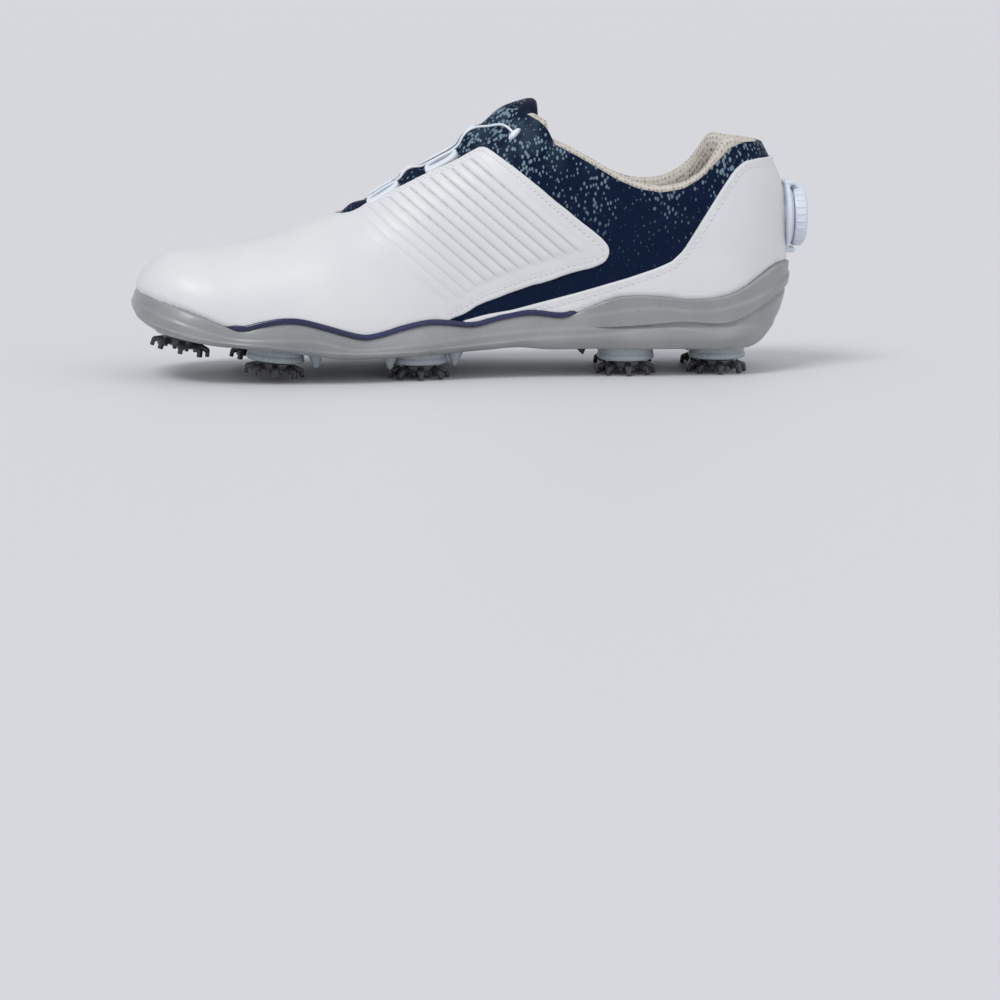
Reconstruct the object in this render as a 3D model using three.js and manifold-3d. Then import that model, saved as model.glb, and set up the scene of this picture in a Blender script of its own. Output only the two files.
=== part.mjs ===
// A right-foot golf shoe with a reel-and-cable closure, in millimetres, +Z up, standing on its cleats.
// Stations run from the toe tip (0) to the back of the heel; -Y is the medial side, +Y the lateral side.
import * as THREE from "three";
import { mergeVertices } from "three/addons/utils/BufferGeometryUtils.js";
import Module from "manifold-3d";

const wasm = await Module();
wasm.setup();

// Driving dimensions
const SOLE_LENGTH = 302;
const REEL_PROUD = 11; // how far the reel stands behind the heel
const HALF_LENGTH = (SOLE_LENGTH + REEL_PROUD) / 2;
const GAP = 0.35; // clearance between neighbouring pieces
const WALL = 2.3; // sole wall outside the upper
const MEDIAL = -1;
const LATERAL = 1;
const SIDES = [[MEDIAL, "medial"], [LATERAL, "lateral"]];
const MIDDLE = -1.6; // Y of the instep's middle line and of the reel's axis

const SEAM = GAP / 2;
const FAR = 90; // beyond the shoe on either side
const UP = 200; // above the shoe

// Layers of the upper, as depths under its outer surface
const SHELL = [0, 1.6];
const STIFFENER = [1.95, 3.1];
const FOAM = [1.95, 5.9];
const LINING = [6.3, 7.2];
const TONGUE = [2.1, 5.9];

// Toe and heel roundings
const TOE_TIP = 2;
const TOE_PLAN_LENGTH = 38;
const TOE_PROFILE_LENGTH = 22;
const HEEL_START = 262;

// Closure
const LACE_DIAMETER = 1.2;
const LACE_LIFT = 1.85; // lace centre above the outer surface where it crosses the guides
const LACE_STEPS = 78;
const GUIDE_SKIN = [-3.4, -GAP];
const TUBE_DEPTH = 4.75;
const TUBE_RADIUS = 1.35;
const TUBE_STEPS = 22;
const REEL_HEIGHT = 71;
const REEL_CUP_RADIUS = 12.5;
const REEL_FLOOR = 141.6;
const KNOB_RADIUS = 14;
const KNOB_BACK = HALF_LENGTH;

// Cleats: station, distance across, ground clearance and tilt of each
const CLEAT_RADIUS = 14;
const CLEAT_HEIGHT = 6;
const CLEATS = [
  { name: "toe", t: 20.5, y: -8, z: 11, tilt: 13 },
  { name: "medial_front", t: 63, y: -34, z: 2.6, tilt: 6 },
  { name: "lateral_front", t: 58, y: 24, z: 3, tilt: 6 },
  { name: "medial_ball", t: 130, y: -28, z: 0, tilt: 0 },
  { name: "lateral_ball", t: 134, y: 33, z: 0, tilt: 0 },
  { name: "medial_heel_front", t: 226.5, y: -20, z: 0, tilt: 0 },
  { name: "lateral_heel_front", t: 230, y: 19, z: 0, tilt: 0 },
  { name: "medial_heel_back", t: 269.5, y: -18, z: 0, tilt: 0 },
  { name: "lateral_heel_back", t: 271, y: 15, z: 0, tilt: 0 },
];

// Smooth curve through [position, value] pairs: cubic Hermite with Catmull-Rom slopes.
function through(points) {
  const last = points.length - 1;
  const slope = (i) => {
    const a = points[Math.max(i - 1, 0)];
    const b = points[Math.min(i + 1, last)];
    return (b[1] - a[1]) / (b[0] - a[0]);
  };
  return (x) => {
    if (x <= points[0][0]) return points[0][1];
    if (x >= points[last][0]) return points[last][1];
    const i = points.findIndex((p, k) => k < last && x < points[k + 1][0]);
    const [x0, y0] = points[i];
    const [x1, y1] = points[i + 1];
    const span = x1 - x0;
    const s = (x - x0) / span;
    const rise = (3 - 2 * s) * s * s;
    const left = s * (1 - s) * (1 - s) * slope(i) * span;
    const right = s * s * (s - 1) * slope(i + 1) * span;
    return y0 + (y1 - y0) * rise + left + right;
  };
}

// The last: plan, profile and section, by station
const centreLine = through([[0, -8.6], [30, -7.6], [60, -5.1], [90, -2.6], [120, -1.6], [302, -1.6]]);
const medialHalf = through([
  [0, 36], [20, 38], [40, 41.5], [60, 45], [85, 48], [110, 45.5], [135, 39.5],
  [160, 34.5], [185, 32.5], [210, 33], [240, 34.5], [262, 34.5],
]);
const lateralHalf = through([
  [0, 36], [20, 39], [40, 43.5], [60, 47.5], [85, 51], [110, 53], [135, 50.5],
  [160, 45.5], [185, 40.5], [210, 37], [240, 35.5], [262, 34.5],
]);
const baseLine = through([[0, 34], [20, 26.5], [50, 20], [80, 17], [105, 15.8], [145, 18], [200, 21], [302, 22]]);
const topLine = through([
  [0, 55.5], [20, 56], [34, 56.8], [46, 58], [57, 60.4], [68, 63.2], [78, 66.4], [88, 70], [101, 75],
  [117, 84.5], [127, 90.5], [138, 96.5], [149, 102.5], [157, 108.5], [165, 114.5], [175, 122], [185, 128],
  [215, 142], [262, 152],
]);
const heelBack = through([
  [0, 290], [12, 292], [24, 297], [35, 300], [49, 301.8], [60, 302], [75, 301.5], [86, 299.5], [96, 295.5],
  [105, 291], [112, 287], [125, 281], [152, 272],
]);
const sideHandle = through([[0, 0.62], [60, 0.62], [100, 0.66], [160, 0.72], [200, 0.78], [262, 0.8]]);
const topHandle = through([
  [0, 0.68], [50, 0.68], [80, 0.6], [100, 0.47], [120, 0.38], [150, 0.39], [165, 0.44], [175, 0.5], [185, 0.58],
  [195, 0.6], [215, 0.5], [262, 0.4],
]);
const bulge = through([[0, 0.05], [60, 0.05], [120, 0.03], [160, 0.02], [200, 0.03], [302, 0.04]]);

// Outlines seen from the side, as [station, height]
const soleUnderside = [
  [0, 33.7], [3, 28.5], [8.5, 24.4], [19.5, 20.9], [36.7, 17.5], [50, 16.4], [76, 13.5], [92, 11.2], [114, 11],
  [160, 13.1], [175, 14], [190, 12.8], [213, 13], [283, 13], [289, 16], [294, 21], [298, 29], [302, 40], [304, 46],
];
const soleWallTop = [
  [304, 50], [294.1, 49.9], [285.1, 44.5], [278.7, 40.2], [269.5, 36.6], [254.7, 35.2], [243.9, 36.4],
  [229.3, 37.3], [219.6, 36.3], [209.9, 33], [201.1, 29.7], [195.2, 28.1], [180.5, 29.5], [166.7, 27.5],
  [153.9, 24.6], [141.9, 25.8], [133, 26.2], [121.1, 24.2], [110.3, 21.3], [102.4, 20.5], [84.8, 25.5],
  [75.1, 28], [66.4, 28.3], [56.7, 26.8], [49, 25.1], [41.2, 26.7], [30.5, 31.1], [19.4, 35.2],
  [5.1, 39.5], [-1, 41.5],
];
const wingRear = [
  [162.3, 104.8], [170, 98.6], [180.9, 90.4], [191.8, 81.2], [203.2, 72], [213.6, 63.8], [216.7, 60],
  [217, 56.5], [215.1, 52.6], [210.2, 50.2], [188.2, 43.9], [172.2, 39.3], [157.6, 34.2], [141.7, 26.8],
];
const counterFront = [
  [137.2, 25], [149.1, 27.6], [171.9, 31], [189.6, 35.8], [203.3, 39.3], [225.7, 45.7], [241.8, 51.3],
  [248.2, 55], [256.1, 66.2], [261.6, 74.8], [268.7, 86], [275.6, 95.5], [281.1, 99], [300, 98.4],
];
const collarEdge = [
  [175.6, 122], [182.4, 119], [188.8, 114.5], [196.2, 105], [202.9, 101], [212.6, 95.2], [230.5, 86],
  [240.7, 84.4], [251.2, 86], [259.4, 90.8], [266.9, 98.4], [275, 106.2], [280.6, 107.4], [287.8, 105.6],
  [295.7, 100], [304, 98],
];
const flapSeam = [[169.4, 80], [177.5, 95], [192.8, 104.6], [202.3, 112]];

// Share of full size reached at a distance behind a rounded tip.
function closing(distance, length, power) {
  if (distance >= length) return 1;
  const left = Math.max(1 - Math.max(distance, 0) / length, 0);
  return (1 - left ** power) ** (1 / power);
}

// A place round the upper is a station, and past the heel's start an angle round the back.
function upperPoint(side, place, rise) {
  const t = Math.min(place.t, HEEL_START);
  const half = (side < 0 ? medialHalf(t) : lateralHalf(t)) * closing(t - TOE_TIP, TOE_PLAN_LENGTH, 2.2);
  const base = baseLine(t);
  const height = (topLine(t) - base) * closing(t - TOE_TIP, TOE_PROFILE_LENGTH, 2.3);
  const s = rise;
  const r = 1 - s;
  const width = r ** 3 + 3 * r * r * s * (1 + bulge(t)) + 3 * r * s * s * topHandle(t);
  const z = base + height * (3 * r * r * s * sideHandle(t) + 3 * r * s * s + s ** 3);
  const turn = place.angle || 0;
  const station = turn ? HEEL_START + (heelBack(z) - HEEL_START) * Math.sin(turn) : t;
  return new THREE.Vector3(station - HALF_LENGTH, centreLine(t) + side * half * width * Math.cos(turn), z);
}

function upperNormal(side, place, rise) {
  if (place.t <= TOE_TIP + 0.01) return new THREE.Vector3(-1, 0, 0);
  const step = 0.004;
  const round = place.angle > 0;
  const near = round ? { t: place.t, angle: place.angle - step } : { t: place.t - 10 * step };
  const far = round ? { t: place.t, angle: place.angle + step } : { t: place.t + 10 * step };
  const low = Math.max(rise - step, 0);
  const high = Math.min(rise + step, 1);
  const along = upperPoint(side, far, rise).sub(upperPoint(side, near, rise));
  const up = upperPoint(side, place, high).sub(upperPoint(side, place, low));
  const normal = along.cross(up).multiplyScalar(-side).normalize();
  if (rise === 1 || place.angle > Math.PI / 2 - 1e-6) normal.y = 0;
  return normal.normalize();
}

function insidePoint(side, place, rise, depth) {
  return upperPoint(side, place, rise).addScaledVector(upperNormal(side, place, rise), -depth);
}

// Finds the rise at which a measure of the section, growing or falling, reaches a value.
function riseWhere(test) {
  let low = 0;
  let high = 1;
  for (let k = 0; k < 24; k++) {
    const middle = (low + high) / 2;
    if (test(middle)) low = middle;
    else high = middle;
  }
  return (low + high) / 2;
}

// A point on the side of the upper at a height, sunk by a depth.
function onSide(side, t, z, depth) {
  const turn = t > HEEL_START ? Math.asin(Math.min((t - HEEL_START) / (heelBack(z) - HEEL_START), 1)) : 0;
  const place = { t, angle: turn };
  return insidePoint(side, place, riseWhere((rise) => upperPoint(side, place, rise).z < z), depth);
}

// A point on the top of the upper at a distance from the middle line, lifted off it.
function onTop(side, t, out, lift) {
  const place = { t };
  const reach = (rise) => side * (upperPoint(side, place, rise).y - centreLine(t));
  return insidePoint(side, place, riseWhere((rise) => reach(rise) > out), -lift);
}

// Places round one side of the shoe, close together where it curves.
const TOE_STEPS = 6;
const SIDE_STEPS = 10;
const HEEL_STEPS = 5;
const RISE_STEPS = 7;
const places = [];
for (let i = 0; i < TOE_STEPS; i++) {
  const share = 1 - Math.cos((i / TOE_STEPS) * (Math.PI / 2));
  places.push({ t: TOE_TIP + share * TOE_PLAN_LENGTH });
}
for (let i = 0; i <= SIDE_STEPS; i++) {
  const start = TOE_TIP + TOE_PLAN_LENGTH;
  places.push({ t: start + ((HEEL_START - start) * i) / SIDE_STEPS, angle: 0 });
}
for (let i = 1; i <= HEEL_STEPS; i++) {
  places.push({ t: HEEL_START, angle: ((i / HEEL_STEPS) * Math.PI) / 2 });
}

// Makes a manifold solid of a closed three.js geometry, without the faces that collapsed to a line.
function solidOf(geometry) {
  const bare = geometry.index ? geometry.toNonIndexed() : geometry.clone();
  bare.deleteAttribute("normal");
  bare.deleteAttribute("uv");
  const merged = mergeVertices(bare, 1e-4);
  const index = merged.index.array;
  const corners = [];
  for (let i = 0; i < index.length; i += 3) {
    const [a, b, c] = [index[i], index[i + 1], index[i + 2]];
    if (a !== b && b !== c && a !== c) corners.push(a, b, c);
  }
  const mesh = new wasm.Mesh({
    numProp: 3,
    vertProperties: merged.getAttribute("position").array,
    triVerts: new Uint32Array(corners),
  });
  return new wasm.Manifold(mesh);
}

function solidFrom(points, faces) {
  const raw = new THREE.BufferGeometry();
  const flat = new Float32Array(points.flatMap((p) => [p.x, p.y, p.z]));
  raw.setAttribute("position", new THREE.BufferAttribute(flat, 3));
  raw.setIndex(faces);
  return solidOf(raw);
}

function geometryOf(solid) {
  const mesh = solid.getMesh();
  const positions = new Float32Array(mesh.numVert * 3);
  for (let i = 0; i < mesh.numVert; i++) {
    positions.set(mesh.vertProperties.subarray(i * mesh.numProp, i * mesh.numProp + 3), i * 3);
  }
  const geometry = new THREE.BufferGeometry();
  geometry.setAttribute("position", new THREE.BufferAttribute(positions, 3));
  geometry.setIndex(new THREE.BufferAttribute(new Uint32Array(mesh.triVerts), 1));
  return geometry;
}

// The whole upper as a solid dome, sunk by a depth under its outer surface and reaching below its base.
function dome(depth, drop = 0) {
  const half = places.length - 1;
  const count = 2 * half;
  const points = [];
  const spot = (r, i) => {
    const k = i % count;
    if (k === 0 && r > 0) return count;
    if (r === RISE_STEPS + 1 && k > half) return r * count + count - k;
    return r * count + k;
  };
  for (let r = 0; r <= RISE_STEPS + 1; r++) {
    for (let k = 0; k < count; k++) {
      const side = k > half ? LATERAL : MEDIAL;
      const place = places[k > half ? count - k : k];
      const point = insidePoint(side, place, Math.max(r - 1, 0) / RISE_STEPS, depth);
      if (r === 0) point.z -= drop;
      points.push(point);
    }
  }
  const faces = [];
  const quad = (a, b, c, d) => faces.push(a, b, c, a, c, d);
  for (let r = drop > 0 ? 0 : 1; r <= RISE_STEPS; r++) {
    for (let i = 0; i < count; i++) {
      quad(spot(r, i), spot(r, i + 1), spot(r + 1, i + 1), spot(r + 1, i));
    }
  }
  const floor = drop > 0 ? 0 : 1;
  faces.push(spot(floor, 0), spot(floor, count - 1), spot(floor, 1));
  for (let i = 1; i < half; i++) {
    quad(spot(floor, i), spot(floor, count - i), spot(floor, count - i - 1), spot(floor, i + 1));
  }
  return solidFrom(points, faces);
}

function wrap(depths) {
  return dome(depths[0]).subtract(dome(depths[1], 8));
}

// Prisms that cut the upper: an outline seen from the side, or from above.
function placed(geometry, matrix) {
  return solidOf(geometry.applyMatrix4(matrix));
}

function outlineShape(points) {
  return new THREE.Shape(points.map(([u, v]) => new THREE.Vector2(u, v)));
}

function sidePrism(outline, from, to) {
  const flat = new THREE.ExtrudeGeometry(outlineShape(outline), { depth: to - from, bevelEnabled: false });
  const turn = new THREE.Matrix4().makeRotationX(Math.PI / 2);
  return placed(flat, new THREE.Matrix4().makeTranslation(-HALF_LENGTH, to, 0).multiply(turn));
}

function planPrism(outline, from, to) {
  const flat = new THREE.ExtrudeGeometry(outlineShape(outline), { depth: to - from, bevelEnabled: false });
  return placed(flat, new THREE.Matrix4().makeTranslation(-HALF_LENGTH, 0, from));
}

function slab(from, to, low, high) {
  const box = new THREE.BoxGeometry(to[0] - from[0], to[1] - from[1], high - low);
  const middle = [(from[0] + to[0]) / 2 - HALF_LENGTH, (from[1] + to[1]) / 2, (low + high) / 2];
  return placed(box, new THREE.Matrix4().makeTranslation(...middle));
}

// Moves an outline along its own normal, to leave the seam between two panels.
function offset(line, by) {
  return line.map((point, i) => {
    const a = line[Math.max(i - 1, 0)];
    const b = line[Math.min(i + 1, line.length - 1)];
    const length = Math.hypot(b[0] - a[0], b[1] - a[1]);
    return [point[0] - (by * (b[1] - a[1])) / length, point[1] + (by * (b[0] - a[0])) / length];
  });
}

// Regions of the upper, seen from the side
const aboveCollar = (by) => [[175.6, UP], ...offset(collarEdge, by), [320, UP]];
const wingRegion = (by) => [[-10, -10], [-10, UP], [162.3, UP], ...offset(wingRear, by), [136, -10]];
const counterRegion = (by) => [[137.2, -10], ...offset(counterFront, by), [320, 98], [320, -10]];
const flapRegion = (by) => [[100, UP], [100, 60], ...offset(flapSeam, by), [215, UP]];

// Throat and tongue, seen from above
function capsule(start, end, halfStart, halfEnd) {
  const outline = [];
  for (let k = 0; k <= 6; k++) {
    const angle = Math.PI / 2 + (k / 6) * Math.PI;
    outline.push([start + halfStart * Math.cos(angle), halfStart * Math.sin(angle)]);
  }
  outline.push([end, -halfEnd], [end, halfEnd]);
  return outline.map(([t, y]) => [t, y + MIDDLE]);
}
const throat = (by) => planPrism(capsule(103, 215, 11 + by, 15 + by), 0, UP);
const tonguePlan = (by) => planPrism(capsule(96, 192, 19 + by, 14.5 + by), 0, UP);

const collarCut = (by) => sidePrism(aboveCollar(by), -FAR, FAR);
const wingCut = (by) => sidePrism(wingRegion(by), -FAR, FAR);
const counterCut = (by) => sidePrism(counterRegion(by), -FAR, FAR);
const flapCut = (by) => sidePrism(flapRegion(by), -FAR, FAR);
function sideOf(side) {
  const [from, to] = side < 0 ? [-FAR, MIDDLE - SEAM] : [MIDDLE + SEAM, FAR];
  return slab([-20, from], [340, to], -20, UP);
}

const parts = [];
function add(name, solid, colour, roughness, metalness = 0) {
  const geometry = geometryOf(solid);
  const material = new THREE.MeshStandardMaterial({ color: colour, roughness, metalness });
  const mesh = new THREE.Mesh(geometry, material);
  mesh.name = name;
  parts.push(mesh);
}

const WHITE = 0xeceef0;
const NAVY = 0x1d2a4d;
const BEIGE = 0xc9c1b3;
const GREY = 0xb4b4ae;
const SMOKE = 0x2a2a2e;
const PALE_BLUE = 0xc4d0da;
const METAL = 0xa8acb0;
const GUIDE_WHITE = 0xe4ebf3;
const LABEL_GREY = 0xc8ccd2;

function discX(radius, from, to, sides = 28) {
  const disc = new THREE.CylinderGeometry(radius, radius, to - from, sides);
  const turn = new THREE.Matrix4().makeRotationZ(-Math.PI / 2);
  return placed(disc, new THREE.Matrix4().makeTranslation((from + to) / 2, MIDDLE, REEL_HEIGHT).multiply(turn));
}

// Turned shape about the reel's axis, from [distance along X, radius] pairs that start and end on the axis.
function turnedX(profile, sides = 28) {
  const lathe = new THREE.LatheGeometry(profile.map(([x, r]) => new THREE.Vector2(r, x)), sides);
  const turn = new THREE.Matrix4().makeRotationZ(-Math.PI / 2);
  return placed(lathe, new THREE.Matrix4().makeTranslation(0, MIDDLE, REEL_HEIGHT).multiply(turn));
}

function joined(solids) {
  return solids.reduce((sum, solid) => sum.add(solid));
}

// Lace: one loop from the reel, under the quarter, over the throat and back
const sidePath = [
  [297.5, 69.5], [290, 68], [278, 66], [262, 64], [245, 63], [228, 65], [214, 70], [203, 78], [194, 88], [186, 97],
];
const throatPath = [
  [171, 12.4], [164, 6.4], [160.5, 3], [157.5, 2.2], [154.5, 3.2], [151, 5], [147.5, 5.8], [142.5, 6], [137.5, 5.7],
  [134, 4.4], [130, 2.8], [127, 2.2], [124.4, 2.8], [121.5, 4.4], [119, 5.3], [115.5, 5.6], [112, 5], [109.4, 3.2],
  [108.3, 1.5],
];
function lacePoints(side) {
  return [
    new THREE.Vector3(144.2, MIDDLE + side * 9.7, REEL_HEIGHT),
    new THREE.Vector3(141, MIDDLE + side * 10.6, REEL_HEIGHT),
    ...sidePath.map(([t, z]) => onSide(side, t, z, TUBE_DEPTH)),
    onSide(side, 180.5, 103.6, TUBE_DEPTH),
    onSide(side, 177.2, 107.6, 2.4),
    onSide(side, 175.4, 109.8, -1.5),
    ...throatPath.map(([t, out]) => onTop(side, t, out, LACE_LIFT)),
  ];
}
const laceRoute = [...lacePoints(MEDIAL), onTop(MEDIAL, 108, 0, LACE_LIFT), ...lacePoints(LATERAL).reverse()];
const laceCurve = new THREE.CatmullRomCurve3(laceRoute, false, "centripetal");

function ring(radius, sides) {
  const circle = new THREE.EllipseCurve(0, 0, radius, radius, 0, 2 * Math.PI);
  return new THREE.Shape(circle.getPoints(sides).slice(0, sides));
}

function cord(curve, radius, steps, sides = 8) {
  const tube = new THREE.ExtrudeGeometry(ring(radius, sides), { steps, extrudePath: curve, bevelEnabled: false });
  return placed(tube, new THREE.Matrix4());
}

const channel = cord(laceCurve, LACE_DIAMETER / 2 + GAP, LACE_STEPS);
const tubeRuns = SIDES.map(([side, label]) => {
  const route = sidePath.map(([t, z]) => onSide(side, t, z, TUBE_DEPTH));
  return { label, run: new THREE.CatmullRomCurve3(route, false, "centripetal") };
});
const tubeRooms = tubeRuns.map(({ run }) => cord(run, TUBE_RADIUS + GAP, TUBE_STEPS));

// Outer panels of the upper
const reelPocket = discX(REEL_CUP_RADIUS + GAP, REEL_FLOOR - GAP, HALF_LENGTH);
const skin = wrap(SHELL).subtract(collarCut(0));
add("vamp", skin.intersect(wingCut(-SEAM)).subtract(throat(0)), WHITE, 0.45);
const rear = skin.subtract(wingCut(SEAM)).subtract(throat(0)).subtract(channel);
add("heel_counter", rear.intersect(counterCut(-SEAM)).subtract(reelPocket), WHITE, 0.45);
const navy = rear.subtract(counterCut(SEAM));
for (const [side, label] of SIDES) {
  add(`eyestay_${label}`, navy.intersect(sideOf(side)).intersect(flapCut(SEAM)), NAVY, 0.5);
}
add("collar_quarter", navy.subtract(flapCut(-SEAM)), NAVY, 0.5);

// Inside the upper: stiffeners, padding, lining and tongue
const TOE_PUFF_END = 46;
const COUNTER_START = 236;
const FLOOR_CLEAR = 2.4; // the wall pieces inside stop above the board
const floorStations = [-20, 0, 10, 20, 35, 50, 65, 80, 105, 125, 145, 170, 200, 250, 320];
function floorTop(by) {
  const line = floorStations.map((t) => [t, baseLine(t) + by]);
  return sidePrism([[-20, -20], ...line, [320, -20]], -FAR, FAR);
}
const stiff = wrap(STIFFENER).subtract(floorTop(FLOOR_CLEAR));
add("toe_puff", stiff.intersect(slab([-20, -FAR], [TOE_PUFF_END, FAR], 0, UP)), BEIGE, 0.8);
const padLow = collarEdge.slice(2).map(([t, z]) => [t, z - 15]);
const padRegion = sidePrism([[190, UP], ...padLow, [330, 83], [330, UP]], -FAR, FAR);
const padTop = collarCut(1.2);
const counterPiece = stiff.intersect(slab([COUNTER_START, -FAR], [330, FAR], 0, UP)).subtract(padRegion);
add("counter_stiffener", counterPiece.subtract(reelPocket).subtract(joined([channel, ...tubeRooms])), BEIGE, 0.8);
const behindFlap = slab([196, -FAR], [330, FAR], 0, UP);
add("collar_padding", wrap(FOAM).intersect(padRegion).subtract(padTop).intersect(behindFlap), BEIGE, 0.9);
const tongueRoom = tonguePlan(1.2).intersect(slab([-20, -FAR], [196, FAR], 40, UP));
add("lining", wrap(LINING).subtract(collarCut(0)).subtract(tongueRoom).subtract(floorTop(FLOOR_CLEAR)), BEIGE, 0.9);
const TONGUE_END = 181;
const BINDING_LENGTH = 4;
const tongueBody = wrap(TONGUE).intersect(tonguePlan(0)).intersect(slab([60, -FAR], [190, FAR], 52, UP));
add("tongue", tongueBody.subtract(slab([TONGUE_END, -FAR], [200, FAR], 0, UP)), NAVY, 0.6);
const bindingPlace = slab([TONGUE_END + GAP, -FAR], [TONGUE_END + BINDING_LENGTH, FAR], 0, UP);
add("tongue_binding", tongueBody.intersect(bindingPlace), NAVY, 0.4);

// Floor of the shoe: lasting board and sock
const core = dome(STIFFENER[0]);
const boardTop = floorTop(1.9);
add("lasting_board", core.intersect(boardTop).subtract(floorTop(GAP)), BEIGE, 0.8);
const sockRoom = dome(LINING[1] + GAP).intersect(floorTop(6.4)).subtract(floorTop(FLOOR_CLEAR));
add("sockliner", sockRoom.intersect(slab([12, -FAR], [330, FAR], 0, UP)), BEIGE, 0.9);

// Sole: plan outline a wall's thickness outside the upper
function underside(t) {
  const i = soleUnderside.findIndex(([station]) => station > t);
  const [[t0, z0], [t1, z1]] = [soleUnderside[i - 1], soleUnderside[i]];
  return z0 + ((z1 - z0) * (t - t0)) / (t1 - t0);
}
const soleRegion = sidePrism([...soleUnderside, ...soleWallTop], -FAR, FAR);
const soleBlank = dome(-WALL, 40).intersect(soleRegion);
const CUP_START = 205;
const CUP_LOW = 24;
const cupRegion = (by) => sidePrism([
  [CUP_START - by, 40], [CUP_START - by, 27 - by], [225, CUP_LOW - by], [285, CUP_LOW - by], [320, 32 - by],
  [320, 60],
], -FAR, FAR);
const upperRoom = dome(-GAP, 0.1);
const MIDSOLE_START = 120;
const MIDSOLE_END = 288;
const midRegion = (by) => sidePrism([
  [MIDSOLE_START - by, 17.9], [150, 16.4 - by], [200, 16.6 - by], [MIDSOLE_END + by, 16.8 - by],
  [MIDSOLE_END + by, 30], [MIDSOLE_START - by, 30],
], -FAR, FAR);
const midCore = (by) => dome(3 - by, 20).intersect(midRegion(by)).subtract(dome(-GAP - 0.2));
const SHANK_HALF_WIDTH = 10;
function shankPlace(by, top) {
  const half = SHANK_HALF_WIDTH + by;
  return slab([165 - by, MIDDLE - half], [240 + by, MIDDLE + half], 17.3 - by, top);
}

function cleatFrame(cleat) {
  const tilt = new THREE.Matrix4().makeRotationY((cleat.tilt * Math.PI) / 180);
  return new THREE.Matrix4().makeTranslation(cleat.t - HALF_LENGTH, cleat.y, cleat.z).multiply(tilt);
}

// Turned shape about a cleat's axis, from [radius, height] pairs.
function turnedCleat(cleat, profile, sides) {
  const lathe = new THREE.LatheGeometry(profile.map(([r, z]) => new THREE.Vector2(r, z)), sides);
  const upright = new THREE.Matrix4().makeRotationX(Math.PI / 2);
  return placed(lathe, cleatFrame(cleat).multiply(upright));
}

const SOCKET_RADIUS = 13;
const SOCKET_TOP = 14.5;
const SOCKET_FACE = CLEAT_HEIGHT + 0.6;
const STEM_RADIUS = 5;
const STEM_LENGTH = 3.7;
const socketOutside = (by) => [
  [SOCKET_RADIUS - 0.8 + by, SOCKET_FACE - by], [SOCKET_RADIUS + by, SOCKET_FACE + 1.8],
  [SOCKET_RADIUS - 1 + by, SOCKET_TOP + by], [0, SOCKET_TOP + by],
];
const socketRoom = (cleat) => turnedCleat(cleat, [[0, SOCKET_FACE - GAP], ...socketOutside(GAP)], 14);
const BORE_TOP = SOCKET_FACE + STEM_LENGTH + 0.3;
const socketBore = [[0, BORE_TOP], [STEM_RADIUS + GAP, BORE_TOP], [STEM_RADIUS + GAP, SOCKET_FACE]];

let outsole = soleBlank.subtract(cupRegion(GAP)).subtract(upperRoom).subtract(midCore(GAP));
for (const cleat of CLEATS) outsole = outsole.subtract(socketRoom(cleat));
const NUB_RADIUS = 4;
const NUB_LENGTH = 5;
const nubs = [[82, -41, 11.5], [116, -37, 10], [146, -32, 10.6], [90, 38, 11.2], [118, 43, 10], [150, 38, 11]];

function cone(t, y, base, radius, length, sides) {
  const spike = new THREE.ConeGeometry(radius, length, sides);
  const down = new THREE.Matrix4().makeRotationX(-Math.PI / 2);
  return placed(spike, new THREE.Matrix4().makeTranslation(t - HALF_LENGTH, y, base - length / 2).multiply(down));
}

for (const [t, y, z] of nubs) outsole = outsole.add(cone(t, y, z + 2, NUB_RADIUS, NUB_LENGTH + 2, 10));
add("outsole", outsole, GREY, 0.35);
add("heel_cup", soleBlank.intersect(cupRegion(0)).subtract(upperRoom).subtract(midCore(GAP)), GREY, 0.3);
add("midsole", midCore(0).subtract(shankPlace(GAP, 30)), WHITE, 0.8);
add("shank", shankPlace(0, 18.5), METAL, 0.4, 1);

// Navy trim standing on the sole wall, one strip each side
const TRIM_HEIGHT = 2.2;
const trimLine = soleWallTop.filter(([t]) => t > 40 && t < 202);
const trimFoot = trimLine.map(([t, z]) => [t, z + GAP]);
const trimHead = trimLine.map(([t, z]) => [t, z + GAP + TRIM_HEIGHT]).reverse();
const trimRegion = sidePrism([...trimHead, ...trimFoot], -FAR, FAR);
const trimSkin = wrap([-1.9, -GAP]).intersect(trimRegion);
for (const [side, label] of SIDES) add(`trim_${label}`, trimSkin.intersect(sideOf(side)), NAVY, 0.3);

// Small traction teeth on a thin web, under the forefoot and the heel
const TOOTH_RADIUS = 2.6;
const TOOTH_LENGTH = 4.2;
const WEB = 1;

function web(outline) {
  const under = soleUnderside.map(([t, z]) => [t, z - GAP]);
  const low = soleUnderside.map(([t, z]) => [t, z - GAP - WEB]).reverse();
  return planPrism(outline, -5, 30).intersect(sidePrism([...under, ...low], -FAR, FAR));
}

function traction(outline, teeth) {
  const root = (t) => Math.min(underside(t - TOOTH_RADIUS), underside(t + TOOTH_RADIUS)) - GAP - 0.1;
  return joined([web(outline), ...teeth.map(([t, y]) => cone(t, y, root(t), TOOTH_RADIUS, TOOTH_LENGTH, 6))]);
}

const frontTeeth = [];
for (let row = 0; row < 5; row++) {
  for (let k = -1; k <= 1; k++) frontTeeth.push([82 + 14 * row, -2 + 7 * k]);
}
const heelTeeth = [];
for (let k = -3; k <= 3; k++) heelTeeth.push([206, -1 + 7.4 * k]);
for (let row = 0; row < 5; row++) heelTeeth.push([224 + 13 * row, -1.3]);
const frontWeb = [[76, -13], [144, -13], [144, 9], [76, 9]];
const heelWeb = [[201, -27], [211, -27], [211, -5], [284, -4], [284, 1.2], [211, 3.4], [211, 25], [201, 25]];
add("forefoot_traction", traction(frontWeb, frontTeeth), SMOKE, 0.5);
add("heel_traction", traction(heelWeb, heelTeeth), SMOKE, 0.5);

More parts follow.
